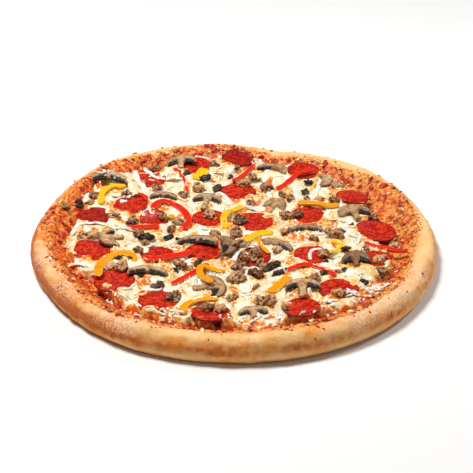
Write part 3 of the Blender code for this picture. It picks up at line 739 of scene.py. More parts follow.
@dataclass
class Crust:
    """The dough: a turned blank whose rim is pulled out of round, with lumps, blisters and creases."""

    radius: float = 178 * MM
    rim_height: float = 21 * MM
    ridge_inset: float = 12 * MM
    floor: float = 8.5 * MM
    well_radius: float = 142 * MM
    base_inset: float = 7 * MM
    bulge: float = 8 * MM
    sectors: int = 480
    lump: float = 0.5 * MM
    lump_length: float = 22 * MM
    blister: float = 1.1 * MM
    blister_length: float = 13 * MM
    # Height and width of the darker band on the rim's side: partly toasting, partly painted shade
    toast_and_shade_height: float = 13 * MM
    toast_and_shade_width: float = 4.8 * MM

    def profile(self) -> list[tuple[float, float]]:
        """Half of the section as (radius, height), from inside the well over the rim to the base."""
        ridge, quarter = self.radius - self.ridge_inset, math.pi / 2
        rise, drop = self.rim_height - self.floor, self.rim_height - self.bulge
        return [
            *((share * self.well_radius, self.floor) for share in (0.3, 0.6, 0.8, 0.92, 0.97)),
            *((self.well_radius + share * (ridge - self.well_radius), self.floor + rise * eased(share ** 0.9))
              for share in np.linspace(0, 1, 24)),
            *((ridge + self.ridge_inset * math.sin(turn), self.bulge + drop * math.cos(turn))
              for turn in np.linspace(0, quarter, 26)[1:]),
            *((self.radius - self.base_inset * (1 - math.cos(turn)), self.bulge * (1 - math.sin(turn)))
              for turn in np.linspace(0, quarter, 14)[1:]),
            *((share * self.radius, 0.0) for share in (0.9, 0.6, 0.3))]

    def pulled(self, radius: float, height: float, bearing: float) -> tuple[float, float, float]:
        """Where hand stretching takes a point of the turned blank, before it is centred."""
        share = eased((radius - self.well_radius) / (self.radius - self.ridge_inset - self.well_radius))
        x, y = polar(radius + share * around(RADIUS_PULL, bearing) * MM, bearing)
        lift = around(HEIGHT_PULL, bearing) * MM
        lift += self.lump * noise.noise(Vector((x, y, 0)) / self.lump_length)
        for middle_x, middle_y, width, bump in BUBBLES:
            swelling = near(x, y, (middle_x, middle_y, 0.5 * width))
            lift += bump * MM * swelling * (swelling > fading(3))
        return x, y, height + lift * share * height / self.rim_height

    def relief(self, x: float, y: float, z: float) -> float:
        """How far the baked surface stands out from the pulled blank, in metres."""
        radius = math.hypot(x, y)
        if z < 0.5 * MM or radius < self.well_radius:
            return 0.0
        outside = eased((radius - 166 * MM) / (8 * MM))
        creases = grain(math.atan2(y, x) * 0.16, 0, z * 3.2, 12 * MM, 3.1) * outside
        dome = max(0.0, 0.42 - cells(x, y, z, self.blister_length)) * self.blister * 1.6
        dome += 1.6 * MM * near(x, y, (*PALE_BUBBLE, 6))
        rough = 0.4 * grain(x, y, z, 9 * MM) + 0.22 * grain(x, y, z, 4 * MM, 2.0) + 0.4 * creases
        return (rough * MM + dome) * min(z / (3 * MM), 1.0)

    def looks(self, x: float, y: float, z: float) -> tuple[float, float, float, float]:
        """Toasting, partly painted shade in its band on the rim's side, flour with painted sheen highlights,
        oil and splashes of sauce at a point.
        """
        radius, bearing = math.hypot(x, y), math.atan2(y, x)
        outside = eased((radius - 168 * MM) / (7 * MM))
        # Darker band round the rim's outer side: partly toasting, partly painted shade where the side turns
        # away from the light above
        toast_and_shade_band = fading((z - self.toast_and_shade_height) / self.toast_and_shade_width) * outside
        swell = 0.8 + 0.5 * grain(x, y, 2 * z, 30 * MM, 5.0)
        baked = around(TOASTED_RIM, bearing)
        toast = 1.15 * baked * toast_and_shade_band * swell + 0.5 * baked ** 2 * eased(0.5 + grain(x, y, z, 20 * MM, 3.0))
        toast += 0.3 * toast_and_shade_band * swell + 0.25 * eased((grain(x, y, z, 24 * MM, 9.0) - 0.2) * 4) * outside
        # Flour, partly a painted highlight of the glossy sheen
        flour_and_highlight = max(near(x, y, spot) for spot in FLOUR_AND_HIGHLIGHT)
        flour_and_highlight *= eased((z - 11 * MM) / (6 * MM)) * eased((radius - 150 * MM) / (10 * MM))
        edge = (radius - around(SAUCE_EDGE, bearing) * MM) / MM
        beyond = max(edge, 0.0)
        spread = 5.0 + 6.0 * max(grain(x, y, 0, 12 * MM, 21.0), 0.0)
        oil = around(OILY_RIM, bearing) * math.exp(-beyond / spread) + math.exp(-beyond / 2.0)
        plain = 1 - near(x, y, (*PALE_BUBBLE, 8))
        splashed = math.exp(-beyond / 4.0) * (edge > -1) * (z > 12 * MM)
        return (min(max(toast * plain, 0.0), 1.6), flour_and_highlight, min(oil * plain, 1.0),
                splashed * eased(0.4 + 1.8 * grain(x, y, 0, 14 * MM, 33.0)))

    def build(self) -> bpy.types.Object:
        """The dough as one closed piece."""
        bearings = turns(self.sectors)
        ring = np.array([self.pulled(self.radius, self.bulge, bearing) for bearing in bearings])
        rings = np.array([[self.pulled(*place, bearing) for bearing in bearings] for place in self.profile()])
        rings -= [*(ring.min(0) + ring.max(0))[:2] / 2, 0]
        points, faces = closed_shell(rings, (0, 0, self.floor), (0, 0, 0))
        obj = new_object("dough_crust", points, faces, dough())
        moved_out(obj.data, [self.relief(*point) for point in points])
        looks = zip(*(self.looks(*point) for point in points_of(obj.data)))
        masked(obj.data, dict(zip(("toast", "flour_and_highlight", "oil", "fleck"), looks)))
        return obj


@dataclass
class Sheet:
    """A spread layer: a round skin with an uneven edge, which lies on what is under it."""

    name: str
    finish: Finish
    edge: tuple[float, ...]
    ragged: tuple[tuple[float, float], ...]
    thickness: float
    lip: float
    sunk: float
    coarse: int
    sectors: int
    shares: tuple[float, ...]
    carries: tuple[str, ...]

    def edge_at(self, bearing: float) -> float:
        """Radius of the ragged edge at a bearing, in metres."""
        radius = around(self.edge, bearing) * MM
        x, y = polar(radius, bearing)
        return radius + sum(
            amount * MM * grain(x, y, 0, length * MM, length) for amount, length in self.ragged)

    def top(self, x: float, y: float, ground: float, inside: float) -> float:
        """Height of the top face at a place over the ground, this far inside the edge."""
        raise NotImplementedError

    def looks(self, x: float, y: float, inside: float) -> tuple[float, ...]:
        """The values of the masks that the layer carries, at a place this far inside the edge."""
        raise NotImplementedError

    def build(self, pile: Pile) -> bpy.types.Object:
        """The layer as one closed piece on the pile."""
        bearings = turns(self.sectors)
        edges = [self.edge_at(bearing) for bearing in bearings]
        above, below = [], []
        for share in self.shares:
            places = [polar(share * edge, bearing) for bearing, edge in zip(bearings, edges)]
            grounds = [pile.top(*place)[0] for place in places]
            above.append([(*place, self.top(*place, ground, (1 - share) * edge))
                          for place, ground, edge in zip(places, grounds, edges)])
            below.append([(*place, ground - self.sunk) for place, ground in zip(places, grounds)])
        rings = np.array(above + below[::-1][::self.coarse])
        middle = pile.top(0, 0)[0]
        points, faces = closed_shell(rings, (0, 0, self.top(0, 0, middle, 1.0)), (0, 0, middle - self.sunk))
        looks = zip(*(self.looks(x, y, self.edge_at(math.atan2(y, x)) - math.hypot(x, y))
                      for x, y, _ in points))
        return new_object(self.name, points, faces, self.finish, dict(zip(self.carries, looks)))


@dataclass
class Sauce(Sheet):
    """The baked sauce, grainy where it shows between cheese and rim."""

    name: str = "tomato_sauce"
    finish: Finish = field(default_factory=lambda: sauce("baked_sauce"))
    edge: tuple[float, ...] = SAUCE_EDGE
    ragged: tuple[tuple[float, float], ...] = ((2.8, 11.0), (1.8, 5.0), (0.9, 2.2))
    thickness: float = 1.3 * MM
    lip: float = 3.0 * MM
    sunk: float = 0.6 * MM
    coarse: int = 4
    sectors: int = 600
    shares: tuple[float, ...] = (0.3, 0.55, 0.68, *np.linspace(0.72, 1.0, 48))
    carries: tuple[str, ...] = ("thin", "fleck")

    def top(self, x: float, y: float, ground: float, inside: float) -> float:
        """Grains and soft swells on a thin layer that ends in a rounded lip."""
        clots = 0.55 - cells(x, y, 0, 3.2 * MM)
        swell = 0.55 * grain(x, y, 0, 7 * MM, 4.0) + 0.45 * grain(x, y, 0, 3 * MM, 1.0)
        body = self.thickness + 0.35 * MM + (1.2 * clots + 0.9 * swell) * MM
        return ground + body * math.sqrt(eased(inside / self.lip))

    def looks(self, x: float, y: float, inside: float) -> tuple[float, float]:
        """How thin the layer is, and how thickly flecks gather."""
        oily = 0.6 * eased(x / (120 * MM)) * eased(0.5 + 1.5 * grain(x, y, 0, 9 * MM, 31.0))
        shown = eased((math.hypot(x, y) - 108 * MM) / (8 * MM))
        return (min(1.0, math.exp(-max(inside, 0) / (2.5 * MM)) + oily),
                shown * eased(0.55 + 1.6 * grain(x, y, 0, 12 * MM, 6.0)))


@dataclass
class Cheese(Sheet):
    """The melted cheese: mounds, strings and thin places, drawn up against every topping."""

    name: str = "melted_cheese"
    finish: Finish = field(default_factory=lambda: cheese("glossy_cheese"))
    edge: tuple[float, ...] = CHEESE_EDGE
    ragged: tuple[tuple[float, float], ...] = ((3.4, 14.0), (2.2, 6.0), (1.0, 3.0))
    thickness: float = 2.6 * MM
    lip: float = 4.0 * MM
    sunk: float = 1.6 * MM
    coarse: int = 8
    sectors: int = 640
    shares: tuple[float, ...] = tuple(np.linspace(0.02, 1.0, 122))
    carries: tuple[str, ...] = ("stain", "toast")
    gap: float = 0.4 * MM
    melt: float = 0.7 * MM
    melt_length: float = 24 * MM
    hole_depth: float = 3.4 * MM
    overlap: float = 1.0 * MM
    widest_gap: float = 9 * MM
    highest_climb: float = 6 * MM
    climb_reach: float = 2.5 * MM
    lap_height: float = 2.4 * MM
    lap_cover: float = 0.5 * MM
    search: float = 14 * MM
    toppings: BVHTree | None = None

    def lap(self, x: float, y: float) -> float:
        """How far the cheese has run over a topping at a place: 0 not at all, 1 right over it."""
        ragged = 1 + 0.5 * grain(x, y, 0, 5 * MM, 27.0)
        lap = max(near(x, y, (a, b, c * ragged)) for a, b, c in LAPS)
        wet = eased((grain(x, y, 0, 13 * MM, 23.0) - 0.05) * 4)
        if wet > 0.1:
            rim = min(abs(math.hypot(x - a * MM, y - b * MM) - c * MM) for a, b, c in PEPPERONI)
            lap = max(lap, wet * fading(rim / (2.2 * MM)))
        return eased(1.5 * lap - 0.15)

    def top(self, x: float, y: float, ground: float, inside: float) -> float:
        """Mounds and strings that climb to every topping near them."""
        mound = self.melt * (1 + noise.noise(Vector((x, y, 0)) / self.melt_length))
        bend_x = x + 3 * MM * grain(x, y, 0, 16 * MM, 7.0)
        bend_y = y + 3 * MM * grain(x, y, 0, 16 * MM, 8.0)
        strings = 0.5 - abs(grain(bend_x * 0.55, bend_y, 0, 6 * MM, 3.0)) * 1.6
        detail = 0.8 * strings + 0.45 * grain(x, y, 0, 4 * MM, 2.0) + 0.22 * grain(x, y, 0, 2 * MM, 5.0)
        outer = eased((math.hypot(x, y) - 96 * MM) / (40 * MM))
        hole = eased((grain(x, y, 0, 11 * MM, 11.0) - 0.24) * 4.5) * (0.5 + 0.5 * outer)
        body = self.gap + mound + self.thickness + detail * MM - hole * self.hole_depth
        height = ground + body * math.sqrt(eased(inside / self.lip)) - 0.15 * MM
        over = self.toppings.ray_cast(Vector((x, y, -1)), UP)[0]
        if over is not None:
            gap = over.z - height
            height += (gap + self.overlap) * eased(2 * (self.widest_gap - gap) / self.widest_gap)
            lap = self.lap(x, y)
            if lap > 0.01:
                crown = self.toppings.ray_cast(Vector((x, y, 1)), DOWN)[0].z + self.lap_cover
                height += (crown - height) * lap * (crown - over.z < self.lap_height + 1.6 * MM)
            return height
        beside = self.toppings.find_nearest(Vector((x, y, height)), self.search)[0]
        if beside is None:
            return height
        overlap = self.overlap + self.lap_height * self.lap(beside.x, beside.y) * 0.7
        climb = min(max(beside.z - height + overlap, 0.0), self.highest_climb + overlap)
        away = math.hypot(beside.x - x, beside.y - y) / (self.climb_reach + 1.2 * climb)
        return height + climb * fading(away) * eased(1.6 * inside / self.lip)

    def looks(self, x: float, y: float, inside: float) -> tuple[float, float]:
        """Oil stains round the pepperoni, in the holes and by the edge, and golden patches."""
        away = min(math.hypot(x - a * MM, y - b * MM) - c * MM for a, b, c in PEPPERONI + SUNK_PEPPERONI)
        patch = eased(0.4 + 1.6 * grain(x, y, 0, 20 * MM, 13.0))
        stain = 0.75 * math.exp(-max(away, 0) / (4 * MM)) * patch
        stain += 0.85 * math.exp(-max(inside, 0) / (3 * MM))
        stain += 0.6 * eased((grain(x, y, 0, 11 * MM, 11.0) - 0.2) * 5)
        stain += 0.5 * eased((grain(x, y, 0, 8 * MM, 29.0) - 0.12) * 4)
        return min(1.0, stain), eased((grain(x, y, 0, 15 * MM, 17.0) - 0.1) * 3.0)


@dataclass
class PepperoniSlices:
    """Thin rounds that soften over what is under them, with curled, crisped rims."""

    thickness: float = 1.8 * MM
    sectors: int = 64
    rings: int = 15
    curl: float = 0.45
    ragged: float = 0.03
    flat: float = 0.955
    finish: Finish = field(default_factory=pepperoni)

    def slice_shell(self, name: str, disc: tuple[float, float, float], lie: Callable[[float, float], float],
                    curl: float, squarish: bool, dark: float) -> bpy.types.Object:
        """One slice.

        Args:
            name: the piece's name.
            disc: x, y and radius in millimetres.
            lie: gives the height of its underside for a share of the radius and a bearing.
            curl: how far its rim turns up, in metres.
            squarish: whether its outline is a rounded square.
            dark: how much darker it is baked than the others, from 0 to 1.

        Returns:
            The closed slice.
        """
        x, y, radius = (value * MM for value in disc)
        seed = disc[0] * 0.37 + disc[1] * 0.11
        outline = []
        for turn in turns(self.sectors):
            reach = radius * (1 + self.ragged * grain(*polar(1, turn), 0, 0.8, seed))
            if squarish:
                reach /= (abs(math.cos(turn)) ** 5 + abs(math.sin(turn)) ** 5) ** 0.2 * 1.04
            outline.append((turn, reach, 0.7 + 0.5 * grain(*polar(1, turn), 0, 0.9, seed + 5)))
        section = [(share, 1.0) for share in np.linspace(0.06, self.flat, self.rings)]
        section += [(self.flat + 0.045 * math.sin(turn), 0.5 + 0.5 * math.cos(turn))
                    for turn in turns(12)[1:6]]
        section += [(self.flat, 0.0), (0.6, 0.0), (0.3, 0.0)]
        rings, crisp = [], []
        for share, side in section:
            rings.append([])
            for turn, reach, wave in outline:
                place = polar(share * reach, turn, x, y)
                dimple = 0.22 * grain(*place, 0, 3.5 * MM, 1.0) + 0.3 * grain(*place, 0, 9 * MM, 2.0)
                dimple = dimple * MM * side
                height = lie(share, turn) + side * self.thickness + curl * share ** 6 * wave + dimple
                rings[-1].append((*place, height))
                crisp.append(min(1.0, dark + 0.75 * eased((share - 0.9) * 12) * wave))
        points, faces = closed_shell(np.array(rings), (x, y, lie(0, 0) + self.thickness), (x, y, lie(0, 0)))
        return new_object(name, points, faces, self.finish, {"crisp": [*crisp, dark, dark]})

    def on_solid(self, node: str, disc: tuple[float, float, float]) -> Callable[[float, float], float]:
        """How a slice lies where its solid does: smooth between the solid's middle and its rim."""
        solid = Solid(node)
        x, y, radius = (value * MM for value in disc)
        middle = solid.underside(x, y)
        ways = [(math.cos(turn), math.sin(turn)) for turn in turns(16)]
        found = [solid.underside(*polar(0.93 * radius, turn, x, y)) for turn in turns(16)]
        rim = [middle if height is None else height for height in found]
        tilt_x, tilt_y = (sum(height * way[axis] for height, way in zip(rim, ways)) / 8 for axis in (0, 1))
        rest = [height - tilt_x * way[0] - tilt_y * way[1] for height, way in zip(rim, ways)]
        soft = tuple(sum(rest[(number + step) % 16] for step in range(-2, 3)) / 5 for number in range(16))

        def lie(share: float, turn: float) -> float:
            """A tilted plane that bends smoothly towards the rim."""
            tilt = tilt_x * math.cos(turn) + tilt_y * math.sin(turn)
            return middle + tilt * share + (around(soft, turn) - middle) * share * share

        return lie

    def build(self, pile: Pile) -> None:
        """Every slice that is a solid of its own."""
        for number, disc in enumerate(PEPPERONI, 1):
            node = f"pepperoni_{number:02d}"
            obj = self.slice_shell(f"pepperoni_slice_{number:02d}", disc, self.on_solid(node, disc),
                                   CUPPED_PEPPERONI.get(number, self.curl) * MM, number in SQUARISH_PEPPERONI,
                                   0.4 * (number in DARK_PEPPERONI))
            pile.lay(obj, "pepperoni", "pepperoni", node)

    def build_sunk(self, pile: Pile) -> None:
        """The slices that the cheese nearly hides, smoothed and just under its own skin."""
        for number, disc in enumerate(SUNK_PEPPERONI, 1):
            x, y, radius = (value * MM for value in disc)

            def lie(share: float, turn: float) -> float:
                """The mean height of the cheese round a place."""
                place = polar(share * radius, turn, x, y)
                heights = [pile.top(*polar(5 * MM, way, *place), "cheese")[0] for way in turns(6)]
                return sum(heights) / 6 - self.thickness + 0.9 * MM

            obj = self.slice_shell(f"sunk_pepperoni_{number:02d}", disc, lie, 0.1 * MM, False, 0.1)
            pile.lay(obj, "pepperoni", "pepperoni")


class Gills(Enum):
    """Which sides of a slice show its gills."""

    BOTH = (-1, 1)
    LEFT = (-1,)
    RIGHT = (1,)
    NONE = ()


@dataclass(frozen=True)
class Mushroom:
    """One slice: where the middle of its gills lies, its cap, its stem and its looks, in millimetres."""

    x: float
    y: float
    width: float
    depth: float
    stem: float
    bearing: float
    gills: Gills
    grey: float


BOTH, LEFT, RIGHT, NONE = Gills
MUSHROOMS = tuple(Mushroom(*row) for row in (
    (-51, 125, 29, 14, 12, 92, BOTH, 0.1), (-117, 84, 34, 14, 0, 95, BOTH, 0.0),
    (36, 114, 34, 12, 0, 60, LEFT, 0.1), (-25, 52, 28, 14, 17, 80, BOTH, 0.1),
    (-65, 59, 27, 11, 0, 90, BOTH, 0.2), (36, 45, 22, 17, 12, 70, NONE, 0.15),
    (81, 93, 24, 13, 0, 0, NONE, 0.1), (109, 25, 31, 16, 10, 100, RIGHT, 0.25),
    (64, 1, 31, 9, 0, 92, BOTH, 0.4), (-103, -15, 28, 15, 8, 195, RIGHT, 0.0),
    (-32, -25, 36, 15, 0, 82, BOTH, 0.3), (-11, -34, 30, 14, 0, 5, RIGHT, 0.55),
    (35, -27, 34, 12, 0, 62, RIGHT, 0.25), (103, -55, 25, 16, 8, 90, BOTH, 0.75),
    (-71, -78, 34, 14, 0, 94, BOTH, 0.0), (-20, -91, 36, 14, 14, 12, BOTH, 0.3),
    (56, -98, 30, 14, 18, 90, BOTH, 0.0), (16, -132, 25, 10, 6, 95, BOTH, 0.1)))


@dataclass
class MushroomSlices:
    """Slices cut down through cap and stem, lying flat, with sunken dark gills."""

    thickness: float = 3.6 * MM
    spacing: float = 0.65 * MM
    rounding: float = 1.2 * MM
    wobble: float = 0.35
    gill_depth: float = 1.3 * MM
    finish: Finish = field(default_factory=mushroom)

    def outline(self, row: Mushroom) -> list[Vector]:
        """A slice's smooth outline, crown towards +Y and the middle of its gills at the origin."""
        half = row.width / 2
        crown = [(half * math.cos(turn), row.depth * math.sin(turn) ** 0.8) for turn in turns(36)[:19]]
        left = [(-0.86 * half, -0.16 * row.depth), (-0.5 * half, 0.02 * row.depth),
                (-0.2 * half, 0.1 * row.depth)]
        if row.stem:
            left += [(-0.17 * half, -0.6 * row.stem), (-0.24 * half, -row.stem)]
        loop = [Vector(point) for point in crown + left + [(-x, y) for x, y in reversed(left)]]
        for _ in range(2):
            loop = [a.lerp(b, part) for a, b in zip(loop, loop[1:] + loop[:1]) for part in (0.25, 0.75)]
        wobble = self.wobble * MM
        return [point * MM + wobble * Vector([grain(*point, 0, 5.0, seed) for seed in (row.x, row.y)])
                for point in loop]

    def inside(self, places: list[Vector], loop: list[Vector]) -> np.ndarray:
        """Each place's distance from the outline."""
        start = np.array(loop)
        step = np.roll(start, -1, axis=0) - start
        spot = np.array(places)[:, None] - start
        along = np.clip((spot * step).sum(2) / (step ** 2).sum(1), 0, 1)
        return np.linalg.norm(spot - along[..., None] * step, axis=2).min(1)

    def filled(self, loop: list[Vector]) -> tuple[list[Vector], list]:
        """The points and the small triangles that fill an outline."""
        low, high = np.array(loop).min(0), np.array(loop).max(0)
        places = [Vector((a + (row % 2) * self.spacing / 2, b))
                  for row, b in enumerate(np.arange(low[1], high[1], self.spacing * 0.87))
                  for a in np.arange(low[0], high[0], self.spacing)]
        inner = [place for place, far in zip(places, self.inside(places, loop)) if far > 0.45 * self.spacing]
        edges = [(i, (i + 1) % len(loop)) for i in range(len(loop))]
        found = geometry.delaunay_2d_cdt(loop + inner, edges, [], 1, 1e-7)
        return found[0], found[2]

    def looks(self, row: Mushroom, u: float, v: float, far: float) -> tuple[float, float, float]:
        """What a place on the slice shows.

        Args:
            row: the slice.
            u: place across the cap, in metres.
            v: place towards the crown, in metres.
            far: distance from the outline.

        Returns:
            How much it is gills, how much it is skin, and its height above the plain face in metres.
        """
        half, depth = row.width / 2 * MM, row.depth * MM
        share = u / half
        line = depth * (0.6 - 0.55 * share * share) + 1.1 * MM * grain(u, v, 0, 2.4 * MM, row.y)
        beside = eased((abs(u) - (0.2 if row.stem else 0.02) * half - 0.3 * MM) / (1.4 * MM))
        shown = 1.0 if (-1 if u < 0 else 1) in row.gills.value else 0.15
        gills = eased((line - v) / (1.6 * MM)) * beside * shown * eased((0.97 - abs(share)) * 8)
        crown = eased((v / depth + 0.1) * 3) * math.exp(-max(far - 0.6 * MM, 0) / (1.1 * MM))
        ribs = math.sin(math.atan2(v - 0.9 * depth, u) * 40)
        height = gills * (0.28 * MM * ribs - self.gill_depth) + 0.3 * MM * grain(u, v, 0, 3 * MM, row.x)
        return gills, min(crown * 0.9, 1.0), height + 0.12 * MM * grain(u, v, 0, 1.3 * MM, row.y)

    def build_one(self, number: int, row: Mushroom) -> bpy.types.Object:
        """One slice, where its solid lies."""
        loop = self.outline(row)
        points, faces = self.filled(loop)
        base, slope_x, slope_y = Solid(f"mushroom_{number:02d}").plane()
        turn = Matrix.Rotation(math.radians(row.bearing - 90), 2)
        above, below, below_at, looks = [], [], {}, []
        for index, (point, far) in enumerate(zip(points, self.inside(points, loop))):
            rise = min(far / self.rounding, 1.0)
            half_height = self.thickness / 2 * math.sqrt(max(1 - (1 - rise) ** 2, 0))
            gills, skin, height = self.looks(row, *point, far)
            share = point.x / (row.width / 2 * MM)
            place = turn @ point + Vector((row.x, row.y)) * MM
            level = base + slope_x * place.x + slope_y * place.y + (0.3 - 0.9 * share * share) * MM
            above.append((*place, level + half_height + height * rise))
            looks.append((gills, skin, row.grey))
            if far >= 1e-6:
                below_at[index] = len(points) + len(below)
                below.append((*place, level - half_height))
        looks += [looks[index] for index in below_at]
        faces = [*faces, *([below_at.get(i, i) for i in reversed(face)] for face in faces)]
        return new_object(f"mushroom_slice_{number:02d}", above + below, faces, self.finish,
                          dict(zip(("gills", "skin", "tone"), zip(*looks))))

    def build(self, pile: Pile) -> None:
        """Every slice of mushroom."""
        for number, row in enumerate(MUSHROOMS, 1):
            pile.lay(self.build_one(number, row), "mushroom", "mushroom", f"mushroom_{number:02d}")


class Growth(Wiring):
    """The wiring of a Geometry Nodes tree that makes strips or scattered pieces."""

    @classmethod
    def of(cls, name: str, source: str, **inputs: float) -> "Growth":
        """Start a tree that reads a source and wears a material, with a number for each other input."""
        sockets = {source: Socket.GEOMETRY, "Material": Socket.MATERIAL}
        sockets.update({label.replace("_", " "): value for label, value in inputs.items()})
        return cls.begun(name, "GeometryNodeTree", Socket.GEOMETRY, sockets)

    def named(self, name: str, kind: str = "FLOAT") -> Value:
        """A value that the mesh carries."""
        return self.put("GeometryNodeInputNamedAttribute", {"Name": name}, data_type=kind)

    def stored(self, shape: Value, name: str, value: Value) -> Value:
        """Let the mesh carry a value."""
        return self.put("GeometryNodeStoreNamedAttribute", {"Geometry": shape, "Name": name, "Value": value},
                        data_type="FLOAT", domain="POINT")

    def scaled(self, vector: Value, amount: object) -> Value:
        """A vector, this many times as long."""
        return self.put("ShaderNodeVectorMath", {0: vector, "Scale": amount}, operation="SCALE")

    def moved(self, shape: Value, offset: Value) -> Value:
        """Move its points."""
        return self.put("GeometryNodeSetPosition", {"Geometry": shape, "Offset": offset})

    def shaken(self, shape: Value, amount: object, scale: object, detail: float) -> Value:
        """Move its points by up to half this amount, smoothly in features of this scale."""
        cloud = self.put("ShaderNodeTexNoise", {"Scale": scale, "Detail": detail}, 1)
        cloud = self.put("ShaderNodeVectorMath", {0: cloud, 1: (0.5, 0.5, 0.5)}, operation="SUBTRACT")
        return self.moved(shape, self.scaled(cloud, amount))

    def turned(self, euler: Value) -> Value:
        """A rotation from three angles."""
        return self.put("FunctionNodeEulerToRotation", {0: euler})

    def balls(self, places: Value, turn: Value, size: Value, fineness: object) -> Value:
        """A stretched ball on every point, as one mesh."""
        ball = self.put("GeometryNodeMeshIcoSphere", {"Radius": 0.5, "Subdivisions": fineness})
        heap = self.put("GeometryNodeInstanceOnPoints",
                        {"Points": places, "Instance": ball, "Rotation": turn, "Scale": size})
        return self.put("GeometryNodeRealizeInstances", {"Geometry": heap})

    def own_balls(self, fineness: object) -> Value:
        """A ball on every place, by the place's own turn and size."""
        turn, size = self.named("turn", "FLOAT_VECTOR"), self.named("size", "FLOAT_VECTOR")
        return self.balls(self["Places"], self.turned(turn), size, fineness)

    def drawn(self, low: object, high: object, seed: object, vector: bool = False) -> Value:
        """A number or a vector drawn at random for each point."""
        first, kind = (0, "FLOAT_VECTOR") if vector else (2, "FLOAT")
        return self.put("FunctionNodeRandomValue", {first: low, first + 1: high, "Seed": seed}, first // 2,
                        data_type=kind)

    def dressed(self, shape: Value) -> bpy.types.NodeTree:
        """End the tree: realize what it holds, shade it smooth and give it its material."""
        shape = self.put("GeometryNodeRealizeInstances", {"Geometry": shape})
        shape = self.put("GeometryNodeSetShadeSmooth", {"Geometry": shape})
        shape = self.put("GeometryNodeSetMaterial", {"Geometry": shape, "Material": self["Material"]})
        return self.ended(shape)


@cache
def strip_tree() -> bpy.types.NodeTree:
    """A strip swept along a curve, arched across and uneven along its length."""
    w = Growth.of("Strip", "Path", Width=0.006, Thickness=0.003, Arch=0.001, Sides=18, Unevenness=0.0006,
                  Unevenness_length=0.006)
    line = w.put("GeometryNodeSetCurveNormal", {"Curve": w["Path"]}, mode="Z_UP")
    circle = w.put("GeometryNodeCurvePrimitiveCircle", {"Resolution": w["Sides"], "Radius": 1.0})
    x = w.put("ShaderNodeSeparateXYZ", {0: w.put("GeometryNodeInputPosition")})
    y, across = x.beside(1), abs(x)
    circle = w.stored(circle, "across", across)
    wide = across ** 0.7 * x.sign() * (w["Width"] * 0.5)
    tall = abs(y) ** 0.6 * y.sign() * (w["Thickness"] * 0.5) - x * x * w["Arch"]
    spot = w.put("ShaderNodeCombineXYZ", {0: wide, 1: tall})
    section = w.put("GeometryNodeSetPosition", {"Geometry": circle, "Position": spot})
    skin = w.put("GeometryNodeCurveToMesh", {"Curve": line, "Profile Curve": section, "Fill Caps": True,
                                             "Scale": w.put("GeometryNodeInputRadius")})
    skin = w.shaken(skin, w["Unevenness"], 1.0 / w["Unevenness length"], 2.0)
    return w.dressed(w.shaken(skin, 0.5 * MM, 420.0, 1.0))


@cache
def lump_tree() -> bpy.types.NodeTree:
    """A ragged lump on every place, by the place's own size, turn and tone."""
    w = Growth.of("Lumps", "Places", Fineness=4, Nodule_length=0.003, Nodule_height=0.0012, Raggedness=0.002,
                  Raggedness_length=0.007)
    heap = w.shaken(w.own_balls(w["Fineness"]), w["Raggedness"], 1.0 / w["Raggedness length"], 1.0)
    # Depth of the hollows between nodules, which the sausage finish darkens as painted shade
    heap = w.stored(heap, "hollow", w.put("ShaderNodeTexVoronoi", {"Scale": 1.0 / w["Nodule length"]}))
    rise = (0.45 - w.named("hollow")) * w["Nodule height"]
    return w.dressed(w.moved(heap, w.scaled(w.put("GeometryNodeInputNormal"), rise)))


@cache
def fleck_tree() -> bpy.types.NodeTree:
    """Flat bits scattered over a surface, thickest where its fleck mask is high."""
    w = Growth.of("Flecks", "Surface", Spacing=0.0027, Density=40000.0, Smallest=0.0008, Largest=0.0024,
                  Fineness=2, Seed=SEED)
    spread = w.put("GeometryNodeDistributePointsOnFaces", {
        "Mesh": w["Surface"], "Distance Min": w["Spacing"], "Density Max": w["Density"],
        "Density Factor": w.named("fleck"), "Seed": w["Seed"]}, "Points", distribute_method="POISSON")
    stretch = w.drawn((0.6, 0.6, 0.25), (1.7, 1.1, 0.5), 3, True)
    size = w.scaled(stretch, w.drawn(w["Smallest"], w["Largest"], w["Seed"]))
    spin = w.turned(w.drawn((0, 0, 0), (0, 0, math.tau), 5, True))
    turn = w.put("FunctionNodeRotateRotation", {0: spread.beside("Rotation"), 1: spin},
                 rotation_space="LOCAL")
    bits = w.balls(spread, turn, size, w["Fineness"])
    return w.dressed(w.shaken(bits, w["Largest"], 2.0 / w["Largest"], 2.0))


@cache
def shred_tree() -> bpy.types.NodeTree:
    """Short bent threads on places, by each place's own size and turn."""
    w = Growth.of("Shreds", "Places", Bend=0.003, Bend_length=0.006)
    return w.dressed(w.shaken(w.own_balls(3), w["Bend"], 1.0 / w["Bend length"], 2.0))


def grown(name: str, source: bpy.types.Object, tree: bpy.types.NodeTree, values: dict,
          finish: Finish) -> bpy.types.Object:
    """Run a Geometry Nodes tree on an object and keep only the plain mesh that it makes.

    Args:
        name: the new piece's name.
        source: the curve, points or surface that the tree reads. It is removed.
        tree: the tree.
        values: the tree's inputs by name.
        finish: what the piece is dressed in.

    Returns:
        The new piece.
    """
    modifier = source.modifiers.new("Grow", "NODES")
    modifier.node_group = tree
    values = {**values, "Material": finish.material()}
    for item in tree.interface.items_tree:
        if item.in_out == "INPUT" and item.name in values:
            modifier[item.identifier] = values[item.name]
    bpy.context.view_layer.update()
    mesh = bpy.data.meshes.new_from_object(source.evaluated_get(bpy.context.evaluated_depsgraph_get()))
    bpy.data.objects.remove(source, do_unlink=True)
    shape = bmesh.new()
    shape.from_mesh(mesh)
    bmesh.ops.recalc_face_normals(shape, faces=shape.faces)
    shape.to_mesh(mesh)
    shape.free()
    return linked(name, mesh)


